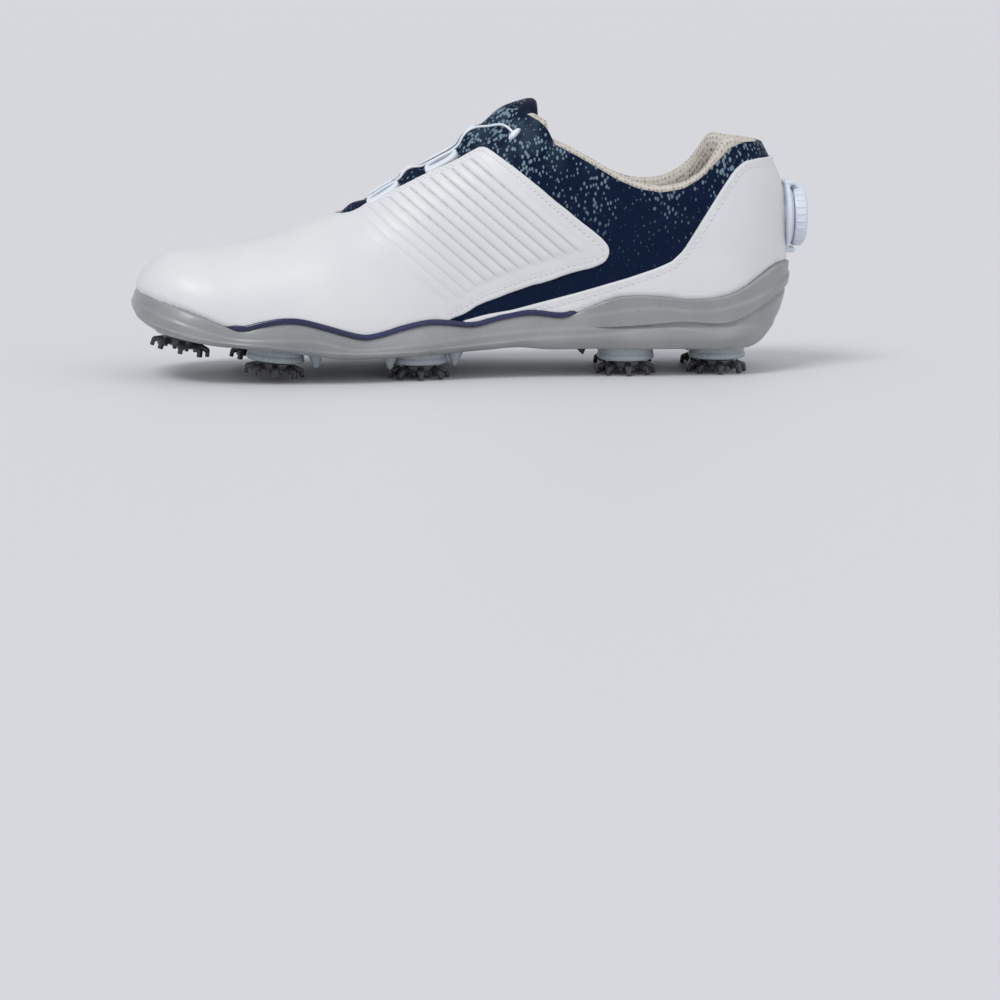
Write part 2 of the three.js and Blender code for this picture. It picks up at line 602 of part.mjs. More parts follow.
// Sockets and cleats
const LEG_COUNT = 8;
const LEG_WIDTH = 3.4;
const legOutline = [[7, 5.8], [12.4, 5], [CLEAT_RADIUS, 0.9], [13.8, 0], [12.2, 0], [7, 2.8]];
const hubProfile = [
  [0, 1.8], [5, 1.8], [8.6, 3], [8.8, CLEAT_HEIGHT + 0.2], [STEM_RADIUS, CLEAT_HEIGHT + 0.2],
  [STEM_RADIUS, SOCKET_FACE + STEM_LENGTH], [0, SOCKET_FACE + STEM_LENGTH],
];

function cleatLegs(cleat) {
  const legs = [];
  for (let k = 0; k < LEG_COUNT; k++) {
    const leg = new THREE.ExtrudeGeometry(outlineShape(legOutline), { depth: LEG_WIDTH, bevelEnabled: false });
    leg.translate(0, 0, -LEG_WIDTH / 2);
    leg.rotateX(Math.PI / 2);
    leg.rotateZ((2 * Math.PI * k) / LEG_COUNT);
    legs.push(placed(leg, cleatFrame(cleat)));
  }
  return legs;
}

for (const cleat of CLEATS) {
  add(`socket_${cleat.name}`, turnedCleat(cleat, [...socketBore, ...socketOutside(0)], 14), PALE_BLUE, 0.3);
  const hub = turnedCleat(cleat, hubProfile, 12);
  add(`cleat_${cleat.name}`, joined([hub, ...cleatLegs(cleat)]), SMOKE, 0.25);
}

// Lace in its tubes
add("lace", cord(laceCurve, LACE_DIAMETER / 2, LACE_STEPS), GUIDE_WHITE, 0.5);
for (const { label, run } of tubeRuns) {
  add(`lace_tube_${label}`, cord(run, TUBE_RADIUS, TUBE_STEPS).subtract(channel), WHITE, 0.6);
}

// Lace guides: loops on the throat's edges, double guides on the tongue, ferrules at the top
const GUIDE_HALF = 7;
const GUIDE_REACH = [3.4, 14]; // near and far edge, from the middle line
const GUIDE_HOLE_HALF = 3.6;
const GUIDE_HOLE_REACH = [7.8, 11];
const guideSkin = wrap(GUIDE_SKIN);

function besideMiddle(side, station, half, reach, low) {
  const [from, to] = reach.map((out) => MIDDLE + side * out).sort((a, b) => a - b);
  return slab([station - half, from], [station + half, to], low, UP);
}

for (const [place, station] of [["upper", 142.5], ["lower", 115.5]]) {
  for (const [side, label] of SIDES) {
    const frame = besideMiddle(side, station, GUIDE_HALF, GUIDE_REACH, 40);
    const hole = besideMiddle(side, station, GUIDE_HOLE_HALF, GUIDE_HOLE_REACH, 30);
    add(`loop_guide_${place}_${label}`, guideSkin.intersect(frame).subtract(hole).subtract(channel), GUIDE_WHITE, 0.35);
  }
}
const centreSkin = wrap([-3.2, TONGUE[0] - GAP]);
for (const [place, station] of [["upper", 158], ["lower", 127]]) {
  const oval = [];
  for (let k = 0; k < 16; k++) {
    const angle = (k / 16) * 2 * Math.PI;
    oval.push([station + 5.4 * Math.cos(angle), MIDDLE + 6 * Math.sin(angle)]);
  }
  add(`tongue_guide_${place}`, centreSkin.intersect(planPrism(oval, 0, UP)).subtract(channel), GUIDE_WHITE, 0.35);
}
for (const [side, label] of SIDES) {
  const foot = onSide(side, 175.4, 109.8, -GAP);
  const tip = onSide(side, 175.4, 109.8, -3.1);
  const axis = tip.clone().sub(foot).normalize();
  const pill = new THREE.CylinderGeometry(2.8, 3.1, tip.distanceTo(foot), 16);
  const turn = new THREE.Quaternion().setFromUnitVectors(new THREE.Vector3(0, 1, 0), axis);
  const middle = foot.clone().add(tip).multiplyScalar(0.5);
  const ferrule = placed(pill, new THREE.Matrix4().compose(middle, turn, new THREE.Vector3(1, 1, 1)));
  add(`lace_ferrule_${label}`, ferrule.subtract(dome(-GAP)).subtract(channel), GUIDE_WHITE, 0.35);
}

// Reel on the heel: cup, ratchet ring, spool, screw, carrier and knob, along X
const FLANGE_RADIUS = 16.6;
const LIP_HEIGHT = 15.6; // above and below the axis
const cup = turnedX([
  [REEL_FLOOR, 0], [REEL_FLOOR, REEL_CUP_RADIUS], [146, REEL_CUP_RADIUS], [146.3, FLANGE_RADIUS],
  [148, FLANGE_RADIUS - 0.6], [148, 11], [142.8, 11], [142.8, 0],
]);
const lipRing = discX(17.2, 146.3, 151.2).subtract(discX(14.6, 146, 152));
const lips = [LIP_HEIGHT, -LIP_HEIGHT].map((rise) => {
  const middle = REEL_HEIGHT + rise;
  return slab([303, MIDDLE - 7], [307.6, MIDDLE + 7], middle - 2, middle + 2).intersect(lipRing);
});
const seat = dome(-GAP).subtract(reelPocket);
add("reel_cup", joined([cup, ...lips]).subtract(seat).subtract(channel), GUIDE_WHITE, 0.35);
add("reel_ratchet", turnedX([[148.35, 8.2], [148.35, 13.2], [149.5, 13.2], [149.5, 8.2], [148.35, 8.2]]), GUIDE_WHITE, 0.4);
add("reel_spool", turnedX([
  [143.2, 2.1], [143.2, 8.6], [144, 8.6], [144.2, 6.6], [146.6, 6.6], [146.8, 8.6], [147.7, 8.6], [147.7, 2.1],
  [143.2, 2.1],
], 20), SMOKE, 0.4);
const screw = turnedX([[143.15, 0], [143.15, 1.7], [149.4, 1.7], [149.4, 3.4], [150.9, 3.4], [150.9, 0]], 12);
add("reel_screw", screw, METAL, 0.3, 1);
add("reel_carrier", turnedX([
  [148.3, 4.2], [148.3, 7.6], [154, 7.6], [154, 0], [153, 0], [153, 4.2], [148.3, 4.2],
], 20), SMOKE, 0.4);
add("reel_knob", turnedX([
  [154.35, 0], [154.35, 8], [149.9, 8], [149.9, 13.2], [150.5, KNOB_RADIUS], [155.2, KNOB_RADIUS - 0.4], [156.2, 12.4],
  [KNOB_BACK, 10.5], [KNOB_BACK, 0],
], 32), GUIDE_WHITE, 0.35);

// Plain label on the lateral quarter and plain tab on the lateral heel
const labelOutline = [[196, 90], [200, 87.5], [226, 71], [229, 75.5], [228, 79], [203, 97], [199, 96.5]];
const labelRegion = sidePrism(labelOutline, 0, FAR);
add("label_patch", wrap([-1, -GAP]).intersect(labelRegion), LABEL_GREY, 0.4);
const tabRegion = sidePrism([[284, 52], [294, 52], [294, 80], [289, 84], [284, 78]], 0, FAR);
add("heel_tab", wrap([-1, -GAP]).intersect(tabRegion), NAVY, 0.4);

const shoe = new THREE.Group();
shoe.add(...parts);
export default shoe;
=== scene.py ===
import math
import bpy
import numpy as np
from mathutils import Matrix, Vector
from mathutils.geometry import delaunay_2d_cdt


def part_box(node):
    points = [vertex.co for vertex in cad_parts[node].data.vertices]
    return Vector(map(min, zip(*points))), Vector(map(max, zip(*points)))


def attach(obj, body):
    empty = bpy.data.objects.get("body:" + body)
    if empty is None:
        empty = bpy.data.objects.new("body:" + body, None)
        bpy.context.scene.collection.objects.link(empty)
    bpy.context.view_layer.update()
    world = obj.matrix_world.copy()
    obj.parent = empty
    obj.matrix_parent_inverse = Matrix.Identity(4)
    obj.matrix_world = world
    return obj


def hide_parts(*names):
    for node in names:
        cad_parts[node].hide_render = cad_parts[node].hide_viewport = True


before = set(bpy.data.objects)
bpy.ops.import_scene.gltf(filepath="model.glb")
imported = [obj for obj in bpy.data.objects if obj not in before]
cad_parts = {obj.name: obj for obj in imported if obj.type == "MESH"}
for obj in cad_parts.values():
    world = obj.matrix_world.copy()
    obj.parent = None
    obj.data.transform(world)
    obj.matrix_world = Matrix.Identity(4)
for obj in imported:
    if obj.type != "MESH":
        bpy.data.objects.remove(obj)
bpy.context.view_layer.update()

# golf shoe: upper, sole, cleats and heel reel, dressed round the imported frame
# sizes below are in mm
mm = 0.001
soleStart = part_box("vamp")[0].x / mm - 2.0   # stations count from the toe tip
medial, lateral = -1.0, 1.0
bothSides = ((medial, "medial"), (lateral, "lateral"))


def finishPiece(piece, body, slot, *replaced):
    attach(piece, body)
    if replaced:
        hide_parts(*replaced)


def through(points):
    # smooth curve through (position, value) pairs
    xs = np.array([p[0] for p in points], float)
    ys = np.array([p[1] for p in points], float)
    ahead = np.append(np.arange(1, len(xs)), len(xs) - 1)
    behind = np.append(0, np.arange(0, len(xs) - 1))
    slopes = (ys[ahead] - ys[behind]) / (xs[ahead] - xs[behind])

    def value(x):
        x = np.clip(np.asarray(x, float), xs[0], xs[-1])
        i = np.clip(np.searchsorted(xs, x, "right") - 1, 0, len(xs) - 2)
        span = xs[i + 1] - xs[i]
        s = (x - xs[i]) / span
        rise = (3 - 2 * s) * s * s
        left = s * (1 - s) ** 2 * slopes[i] * span
        right = s * s * (s - 1) * slopes[i + 1] * span
        return ys[i] + (ys[i + 1] - ys[i]) * rise + left + right
    return value


last = {   # the foot form that every layer of the upper follows
    "centre": through([(0, -8.6), (30, -7.6), (60, -5.1), (90, -2.6), (120, -1.6), (302, -1.6)]),
    "medialHalf": through([(0, 36), (20, 38), (40, 41.5), (60, 45), (85, 48), (110, 45.5), (135, 39.5),
                           (160, 34.5), (185, 32.5), (210, 33), (240, 34.5), (262, 34.5)]),
    "lateralHalf": through([(0, 36), (20, 39), (40, 43.5), (60, 47.5), (85, 51), (110, 53), (135, 50.5),
                            (160, 45.5), (185, 40.5), (210, 37), (240, 35.5), (262, 34.5)]),
    "base": through([(0, 34), (20, 26.5), (50, 20), (80, 17), (105, 15.8), (145, 18), (200, 21),
                     (302, 22)]),
    "top": through([(0, 55.5), (20, 56), (34, 56.8), (46, 58), (57, 60.4), (68, 63.2), (78, 66.4), (88, 70),
                    (101, 75), (117, 84.5), (127, 90.5), (138, 96.5), (149, 102.5), (157, 108.5),
                    (165, 114.5),
                    (175, 122), (185, 128), (215, 142), (262, 152)]),
    "heelBack": through([(0, 290), (12, 292), (24, 297), (35, 300), (49, 301.8), (60, 302), (75, 301.5),
                         (86, 299.5), (96, 295.5), (105, 291), (112, 287), (125, 281), (152, 272)]),
    "sideHandle": through([(0, 0.62), (60, 0.62), (100, 0.66), (160, 0.72), (200, 0.78), (262, 0.8)]),
    "topHandle": through([(0, 0.68), (50, 0.68), (80, 0.6), (100, 0.47), (120, 0.38), (150, 0.39),
                          (165, 0.44), (175, 0.5), (185, 0.58), (195, 0.6), (215, 0.5), (262, 0.4)]),
    "bulge": through([(0, 0.05), (60, 0.05), (120, 0.03), (160, 0.02), (200, 0.03), (302, 0.04)]),
}
toeTip = 2.0
heelStart = 262.0
heelTurn = 38.0      # walking distance for one radian round the heel
heelEnd = heelStart + heelTurn * math.pi / 2


def closing(distance, length, power):
    left = np.clip(1 - np.maximum(distance, 0) / length, 0, 1)
    return (1 - left ** power) ** (1 / power)


def section(side, u, s):
    # point on the foot form: side, station walked round the heel, share of the way up
    u, s = np.asarray(u, float), np.asarray(s, float)
    t = np.clip(u, toeTip + 0.02, heelStart)
    turn = np.maximum(u - heelStart, 0) / heelTurn
    half = np.where(side < 0, last["medialHalf"](t), last["lateralHalf"](t)) * closing(t - toeTip, 38, 2.2)
    base = last["base"](t)
    height = (last["top"](t) - base) * closing(t - toeTip, 22, 2.3)
    r = 1 - s
    width = r ** 3 + 3 * r * r * s * (1 + last["bulge"](t)) + 3 * r * s * s * last["topHandle"](t)
    z = base + height * (3 * r * r * s * last["sideHandle"](t) + 3 * r * s * s + s ** 3)
    x = np.where(turn > 0, heelStart + (last["heelBack"](z) - heelStart) * np.sin(turn), t)
    y = last["centre"](t) + side * half * width * np.cos(turn)
    return np.stack([x + soleStart, y, z], axis=-1)


def search(test, low, high, steps=34):
    # where a falling test turns false
    for _ in range(steps):
        middle = (low + high) / 2
        good = test(middle)
        low, high = np.where(good, middle, low), np.where(good, high, middle)
    return (low + high) / 2


def shareAt(side, u, z):
    zeros = np.zeros(np.broadcast(u, z).shape)
    return search(lambda s: section(side, u, s)[..., 2] < z, zeros, zeros + 1)


def shareOut(side, u, out):
    def wider(s):
        return side * (section(side, u, s)[..., 1] - last["centre"](u)) > out
    zeros = np.zeros(np.broadcast(u, out).shape)
    return search(wider, zeros + 0.3, zeros + 1)


def stationToWalk(t, z):
    t, z = np.asarray(t, float), np.asarray(z, float)
    span = last["heelBack"](z) - heelStart
    turn = np.arcsin(np.clip((t - heelStart) / span, 0, 1))
    return np.where(t > heelStart, heelStart + heelTurn * turn, t)


def walkToStation(walk, reach):
    # back from distance walked round the heel to station, for a heel that reaches that far back
    return np.where(walk > heelStart, heelStart + reach * np.sin((walk - heelStart) / heelTurn), walk)


# front chart: distance along the ridge, and signed distance down from it
toeSteps = toeTip + 0.02 + 38 * (1 - np.cos(np.linspace(0, 1.5, 60)))
ridgeSteps = np.unique(np.concatenate([toeSteps, np.linspace(38, heelStart, 120)]))
ridgePoints = section(medial, ridgeSteps, np.ones_like(ridgeSteps))
ridgeLength = np.concatenate([[0], np.cumsum(np.linalg.norm(np.diff(ridgePoints, axis=0), axis=1))])


def girth(u):
    total = 0
    for side in (medial, lateral):
        line = [section(side, u, np.full_like(u, k / 12)) for k in range(13)]
        total = total + sum(np.linalg.norm(b - a, axis=-1) for a, b in zip(line, line[1:]))
    return total / 2


girthSteps = girth(ridgeSteps)


def frontPoint(a, b):
    u = np.interp(a, ridgeLength, ridgeSteps)
    w = np.clip(b / np.interp(u, ridgeSteps, girthSteps), -1, 1)
    return section(np.where(w < 0, medial, lateral), u, 1 - np.abs(w))


def toFront(side, t, s):
    t = np.asarray(t, float)
    return np.interp(t, ridgeSteps, ridgeLength), side * (1 - s) * np.interp(t, ridgeSteps, girthSteps)


def backPoint(a, b):
    # back chart: distance round the heel from its middle, medial negative, and height
    side = np.where(a < 0, medial, lateral)
    u = heelEnd - np.abs(a)
    return section(side, u, shareAt(side, u, b))


def toBack(side, t, z):
    return side * (heelEnd - stationToWalk(t, z)), np.asarray(z, float)


def onSurface(chart, a, b, lift):
    step = 0.15
    a, b = np.asarray(a, float), np.asarray(b, float)
    along = chart(a + step, b) - chart(a - step, b)
    up = chart(a, b + step) - chart(a, b - step)
    normal = np.cross(along, up)
    length = np.linalg.norm(normal, axis=-1, keepdims=True)
    normal = normal / np.maximum(length, 1e-9)
    return chart(a, b) + normal * np.asarray(lift)[..., None]


def meshPiece(name, points, faces, smoothAngle=50, uv=None):
    mesh = bpy.data.meshes.new(name)
    mesh.from_pydata((np.asarray(points) * mm).tolist(), [], [list(map(int, f)) for f in faces])
    mesh.update()
    if uv is not None:
        layer = mesh.uv_layers.new(name="walk")
        loops = np.zeros(len(mesh.loops), int)
        mesh.loops.foreach_get("vertex_index", loops)
        layer.data.foreach_set("uv", np.asarray(uv)[loops].astype(np.float32).ravel())
    piece = bpy.data.objects.new(name, mesh)
    bpy.context.scene.collection.objects.link(piece)
    bpy.ops.object.select_all(action="DESELECT")
    piece.select_set(True)
    bpy.context.view_layer.objects.active = piece
    if smoothAngle:
        bpy.ops.object.shade_smooth_by_angle(angle=math.radians(smoothAngle))
    piece.select_set(False)
    return piece


def tubeFaces(steps, around):
    # quads between closed sections in a row, capped at both ends
    faces = []
    for i in range(steps - 1):
        for k in range(around):
            n = (k + 1) % around
            faces.append((i * around + k, i * around + n, (i + 1) * around + n, (i + 1) * around + k))
    faces.append(tuple(range(around))[::-1])
    faces.append(tuple((steps - 1) * around + k for k in range(around)))
    return faces


def walkLine(points, spacing, closed=True):
    # even steps along a line of points
    points = np.asarray(points, float)
    if closed:
        points = np.vstack([points, points[:1]])
    lengths = np.linalg.norm(np.diff(points, axis=0), axis=1)
    total = np.concatenate([[0], np.cumsum(lengths)])
    count = max(int(round(total[-1] / spacing)), 4)
    places = np.linspace(0, total[-1], count + 1)
    if closed:
        places = places[:-1]
    return np.stack([np.interp(places, total, points[:, k]) for k in range(points.shape[1])], axis=1)


def rounded(points, radius, closed=True, steps=6):
    # swings an arc into each corner of a line
    points = [np.asarray(p, float) for p in points]
    count = len(points)
    line = []
    for i, p in enumerate(points):
        if not closed and i in (0, count - 1):
            line.append(p)
            continue
        before, after = points[i - 1], points[(i + 1) % count]
        a, b = before - p, after - p
        reach = min(radius, np.linalg.norm(a) * 0.48, np.linalg.norm(b) * 0.48)
        start = p + a / np.linalg.norm(a) * reach
        end = p + b / np.linalg.norm(b) * reach
        for k in range(steps + 1):
            f = k / steps
            line.append((1 - f) ** 2 * start + 2 * f * (1 - f) * p + f * f * end)
    return np.array(line)


def inside(points, loop):
    x, y = points[:, 0][:, None], points[:, 1][:, None]
    x0, y0 = loop[:, 0], loop[:, 1]
    x1, y1 = np.roll(x0, -1), np.roll(y0, -1)
    crosses = ((y0 > y) != (y1 > y)) & (x < (x1 - x0) * (y - y0) / np.where(y1 == y0, 1e-12, y1 - y0) + x0)
    return crosses.sum(axis=1) % 2 == 1


def toEdge(points, loops):
    # distance from points to the nearest edge of any loop
    best = np.full(len(points), 1e9)
    for loop in loops:
        a, b = loop, np.roll(loop, -1, axis=0)
        d = b - a
        size = np.maximum((d * d).sum(axis=1), 1e-12)
        for start in range(0, len(points), 4000):
            p = points[start:start + 4000, None, :]
            f = np.clip(((p - a) * d).sum(axis=2) / size, 0, 1)
            gap = np.linalg.norm(p - (a + f[..., None] * d), axis=2).min(axis=1)
            best[start:start + 4000] = np.minimum(best[start:start + 4000], gap)
    return best


def inward(loop, by):
    before, after = np.roll(loop, 1, axis=0), np.roll(loop, -1, axis=0)
    along = after - before
    along /= np.maximum(np.linalg.norm(along, axis=1, keepdims=True), 1e-9)
    area = (loop[:, 0] * np.roll(loop[:, 1], -1) - np.roll(loop[:, 0], -1) * loop[:, 1]).sum()
    turn = np.stack([-along[:, 1], along[:, 0]], axis=1) * (1 if area > 0 else -1)
    return loop + turn * by


def lattice(low, high, step):
    columns = np.arange(low[0], high[0], step)
    rows = np.arange(low[1], high[1], step * 0.866)
    return np.array([(x + (j % 2) * step / 2, y) for j, y in enumerate(rows) for x in columns])


def panel(name, chart, outline, spec, holes=(), relief=None, fine=None, marks=None):
    # a thin closed sheet on the foot form: rounded edges, and relief such as ribs or stitch dents
    loops = [walkLine(o, spec["edgeStep"]) for o in (outline, *holes)]
    rings = []
    for k, loop in enumerate(loops):
        for share in (0.12, 0.35, 0.7, 1.15):
            ring = inward(loop, spec["round"] * share * (1 if k == 0 else -1))
            rings.append(ring[toEdge(ring, loops) > spec["round"] * share * 0.9])
    low, high = loops[0].min(axis=0), loops[0].max(axis=0)
    step = spec["step"]
    grid = lattice(low, high, step)
    if fine:
        close = lattice(low, high, step * 0.5)
        grid = np.vstack([grid[~fine(grid)], close[fine(close)]])
    keep = inside(grid, loops[0])
    for hole in loops[1:]:
        keep &= ~inside(grid, hole)
    grid = grid[keep]
    grid = grid[toEdge(grid, loops) > spec["round"] * 1.15 + step * 0.45]
    points = np.vstack([*loops, *rings, grid])
    edges, start = [], 0
    for loop in loops:
        edges += [(start + i, start + (i + 1) % len(loop)) for i in range(len(loop))]
        start += len(loop)
    flat, _, faces, _, _, _ = delaunay_2d_cdt([Vector(p) for p in points], edges, [], 1, 1e-5)
    flat = np.array([(p[0], p[1]) for p in flat])
    faces = np.array([f for f in faces if len(f) == 3])
    middles = flat[faces].mean(axis=1)
    keep = inside(middles, loops[0])
    for hole in loops[1:]:
        keep &= ~inside(middles, hole)
    faces = faces[keep]
    a, b, c = (flat[faces[:, k]] for k in range(3))
    area = (b[:, 0] - a[:, 0]) * (c[:, 1] - a[:, 1]) - (c[:, 0] - a[:, 0]) * (b[:, 1] - a[:, 1])
    faces = np.where((area > 0)[:, None], faces, faces[:, ::-1])
    edge = toEdge(flat, loops)
    radius = spec["round"]
    fall = np.clip(1 - edge / radius, 0, 1)
    lift = spec["top"] - radius * (1 - np.sqrt(np.clip(1 - fall ** 2, 0, 1)))
    if relief:
        lift = lift + relief(flat, edge)
    upper = onSurface(chart, flat[:, 0], flat[:, 1], lift)
    under = onSurface(chart, flat[:, 0], flat[:, 1], np.full(len(flat), spec["under"]))
    count = len(flat)
    directed = {(int(f[i]), int(f[(i + 1) % 3])) for f in faces for i in range(3)}
    walls = [(b, a, a + count, b + count) for a, b in directed if (b, a) not in directed]
    everything = [tuple(f) for f in faces] + [tuple(f[::-1] + count) for f in faces] + walls
    layout = marks(flat, edge) if marks else flat * mm
    return meshPiece(name, np.vstack([upper, under]), everything, 55, np.vstack([layout, layout]))


def newFinish(name, sockets):
    finish = bpy.data.materials.new(name)
    finish.use_nodes = True
    tree = finish.node_tree
    shader = tree.nodes["Principled BSDF"]
    for socket, value in sockets.items():
        shader.inputs[socket].default_value = value
    return finish, tree, shader


def addNode(tree, kind, inputs=None, **settings):
    made = tree.nodes.new(kind)
    for key, value in settings.items():
        setattr(made, key, value)
    for socket, value in (inputs or {}).items():
        if hasattr(value, "is_linked"):
            tree.links.new(value, made.inputs[socket])
        else:
            made.inputs[socket].default_value = value
    return made


def coordinates(tree, where="Object", scale=(1, 1, 1), turn=(0, 0, 0)):
    source = addNode(tree, "ShaderNodeTexCoord").outputs[where]
    inputs = {"Vector": source, "Scale": scale, "Rotation": turn}
    return addNode(tree, "ShaderNodeMapping", inputs).outputs[0]


def noise(tree, where, scale, detail=3.0):
    inputs = {"Vector": where, "Scale": scale, "Detail": detail}
    return addNode(tree, "ShaderNodeTexNoise", inputs).outputs["Fac"]


def cells(tree, where, scale, random=1.0, feature="F1"):
    inputs = {"Vector": where, "Scale": scale, "Randomness": random}
    return addNode(tree, "ShaderNodeTexVoronoi", inputs, feature=feature).outputs["Distance"]


def between(tree, value, low, high, start=0.0, end=1.0):
    inputs = {"Value": value, "From Min": start, "From Max": end, "To Min": low, "To Max": high}
    return addNode(tree, "ShaderNodeMapRange", inputs, clamp=True).outputs[0]


def combine(tree, operation, a, b):
    return addNode(tree, "ShaderNodeMath", {0: a, 1: b}, operation=operation).outputs[0]


def mixColours(tree, factor, a, b):
    made = addNode(tree, "ShaderNodeMix", data_type="RGBA")
    for socket, value in zip((0, 6, 7), (factor, a, b)):
        if hasattr(value, "is_linked"):
            tree.links.new(value, made.inputs[socket])
        else:
            made.inputs[socket].default_value = value if socket == 0 else (*value, 1)
    return made.outputs[2]


def bump(tree, shader, height, depth, strength=1.0):
    made = addNode(tree, "ShaderNodeBump", {"Height": height, "Distance": depth, "Strength": strength})
    tree.links.new(made.outputs[0], shader.inputs["Normal"])


def whiteLeather(name, ribbed):
    look = {"light": (0.765, 0.772, 0.775), "shade": (0.70, 0.71, 0.718), "cloudSize": 22, "glossSize": 90,
            "poreSize": 1500, "wrinkleSize": 420, "grainDepth": 0.00006, "grooveShade": (0.42, 0.43, 0.45),
            "pressWidth": 0.13, "pressDepth": 7.0, "grooveShadeAmount": 0.5}
    sockets = {"Specular IOR Level": 0.45, "Coat Weight": 0.06, "Coat Roughness": 0.35,
               "Subsurface Weight": 0.03, "Subsurface Radius": (0.002, 0.002, 0.002)}
    finish, tree, shader = newFinish(name, sockets)
    where = coordinates(tree)
    cloud = noise(tree, where, look["cloudSize"])
    colour = mixColours(tree, between(tree, cloud, 0, 1, 0.3, 0.7), look["shade"], look["light"])
    gloss = noise(tree, where, look["glossSize"])
    tree.links.new(between(tree, gloss, 0.36, 0.5, 0.3, 0.7), shader.inputs["Roughness"])
    pores = cells(tree, where, look["poreSize"], 1.0, "SMOOTH_F1")
    height = combine(tree, "ADD", pores, noise(tree, where, look["wrinkleSize"], 4))
    if ribbed:   # pressed lines between the ribs, dented and darkened with painted shade: x of the layout counts ribs, y is how deep they are and how strong the painted shade is
        marks = addNode(tree, "ShaderNodeUVMap", uv_map="walk").outputs["UV"]
        parts = addNode(tree, "ShaderNodeSeparateXYZ", {0: marks}).outputs
        middle = combine(tree, "SUBTRACT", combine(tree, "FRACT", parts["X"], 0.0), 0.5)
        middle = combine(tree, "ABSOLUTE", middle, 0.0)
        pressed = between(tree, middle, 1.0, 0.0, 0.0, look["pressWidth"])
        pressed = combine(tree, "MULTIPLY", pressed, parts["Y"])
        dent = combine(tree, "MULTIPLY", pressed, look["pressDepth"])
        height = combine(tree, "SUBTRACT", height, dent)
        # painted shade: the colour is pulled towards dark grey along each pressed groove
        tint = combine(tree, "MULTIPLY", pressed, look["grooveShadeAmount"])
        colour = mixColours(tree, tint, colour, look["grooveShade"])
    tree.links.new(colour, shader.inputs["Base Color"])
    bump(tree, shader, height, look["grainDepth"], 0.55)
    return finish


def navyPrint():
    # navy cloth-backed film: pale flecks, thick at the top of the shoe and thinning out downwards; a
    # painted highlight lightens the navy in patches near the top
    look = {"ground": (0.0022, 0.0075, 0.026), "groundLight": (0.0048, 0.0135, 0.042),
            "fleck": (0.20, 0.28, 0.34), "topHighlight": (0.030, 0.055, 0.080), "fleckSize": 600, "scaleSize": 620,
            "low": 0.040, "high": 0.108, "topHighlightFrom": 0.09, "topHighlightTo": 0.112, "skinDepth": 0.00018}
    finish, tree, shader = newFinish("navyPrint", {"Specular IOR Level": 0.07})
    where = coordinates(tree, scale=(1.0, 1.0, 0.55), turn=(0, 0.6, 0))
    height = addNode(tree, "ShaderNodeSeparateXYZ", {0: coordinates(tree)}).outputs["Z"]
    cloud = noise(tree, where, 75, 3)
    bend = noise(tree, where, 700, 2)
    dots = cells(tree, where, look["fleckSize"], 0.85)
    reach = combine(tree, "MULTIPLY", between(tree, height, 0.24, 0.50, look["low"], look["high"]),
                    between(tree, cloud, 0.55, 1.1, 0.35, 0.65))
    ragged = combine(tree, "ADD", dots, between(tree, bend, -0.14, 0.14))
    soft = combine(tree, "SUBTRACT", reach, ragged)
    mask = between(tree, soft, 0, 1, 0.0, 0.14)
    faint = combine(tree, "MULTIPLY", mask, between(tree, height, 0.1, 0.95, 0.045, 0.1))
    ground = mixColours(tree, cells(tree, where, 900, 0.6), look["ground"], look["groundLight"])
    # painted highlight: patches of lighter navy that grow stronger higher up the shoe
    highlightPatches = between(tree, noise(tree, where, 120, 4), 0, 1, 0.45, 0.62)
    upper = between(tree, height, 0, 0.8, look["topHighlightFrom"], look["topHighlightTo"])
    withTopHighlight = mixColours(tree, combine(tree, "MULTIPLY", upper, highlightPatches), ground, look["topHighlight"])
    tree.links.new(mixColours(tree, faint, withTopHighlight, look["fleck"]), shader.inputs["Base Color"])
    tree.links.new(between(tree, mask, 0.52, 0.4), shader.inputs["Roughness"])
    scales = cells(tree, where, look["scaleSize"], 0.7)
    bump(tree, shader, combine(tree, "ADD", scales, mask), look["skinDepth"], 0.6)
    return finish


def plainFinish(name, colours, rough, grain, sockets=None):
    # moulded plastic: mottled colour, uneven gloss and a fine skin
    finish, tree, shader = newFinish(name, sockets or {})
    where = coordinates(tree)
    tree.links.new(mixColours(tree, between(tree, noise(tree, where, 35), 0, 1, 0.35, 0.65), *colours),
                   shader.inputs["Base Color"])
    tree.links.new(between(tree, noise(tree, where, 160, 4), *rough, 0.3, 0.7), shader.inputs["Roughness"])
    bump(tree, shader, noise(tree, where, grain[0], 4), grain[1], 0.6)
    return finish


def knitMesh():
    # spacer knit: rows of small open cells, darkened inside with painted shade
    look = {"yarn": (0.62, 0.575, 0.50), "hole": (0.30, 0.27, 0.225), "fibre": (0.72, 0.68, 0.61),
            "pitch": 520,
            "fibreSize": 2600, "depth": 0.0006}
    sockets = {"Roughness": 0.9, "Sheen Weight": 0.25, "Sheen Roughness": 0.5}
    finish, tree, shader = newFinish("knitMesh", sockets)
    where = coordinates(tree, "UV", scale=(1.0, 0.62, 1.0))
    dots = cells(tree, where, look["pitch"], 0.28)
    fibres = noise(tree, where, look["fibreSize"], 3)
    # painted shade: the hole colour darkens the yarn down inside each open cell
    tint = mixColours(tree, between(tree, dots, 0, 1, 0.12, 0.36), look["hole"], look["yarn"])
    tree.links.new(mixColours(tree, between(tree, fibres, 0, 0.3, 0.35, 0.7), tint, look["fibre"]),
                   shader.inputs["Base Color"])
    fuzz = combine(tree, "MULTIPLY", fibres, 0.25)
    height = combine(tree, "ADD", between(tree, dots, 0, 1, 0.05, 0.42), fuzz)
    bump(tree, shader, height, look["depth"], 0.9)
    return finish


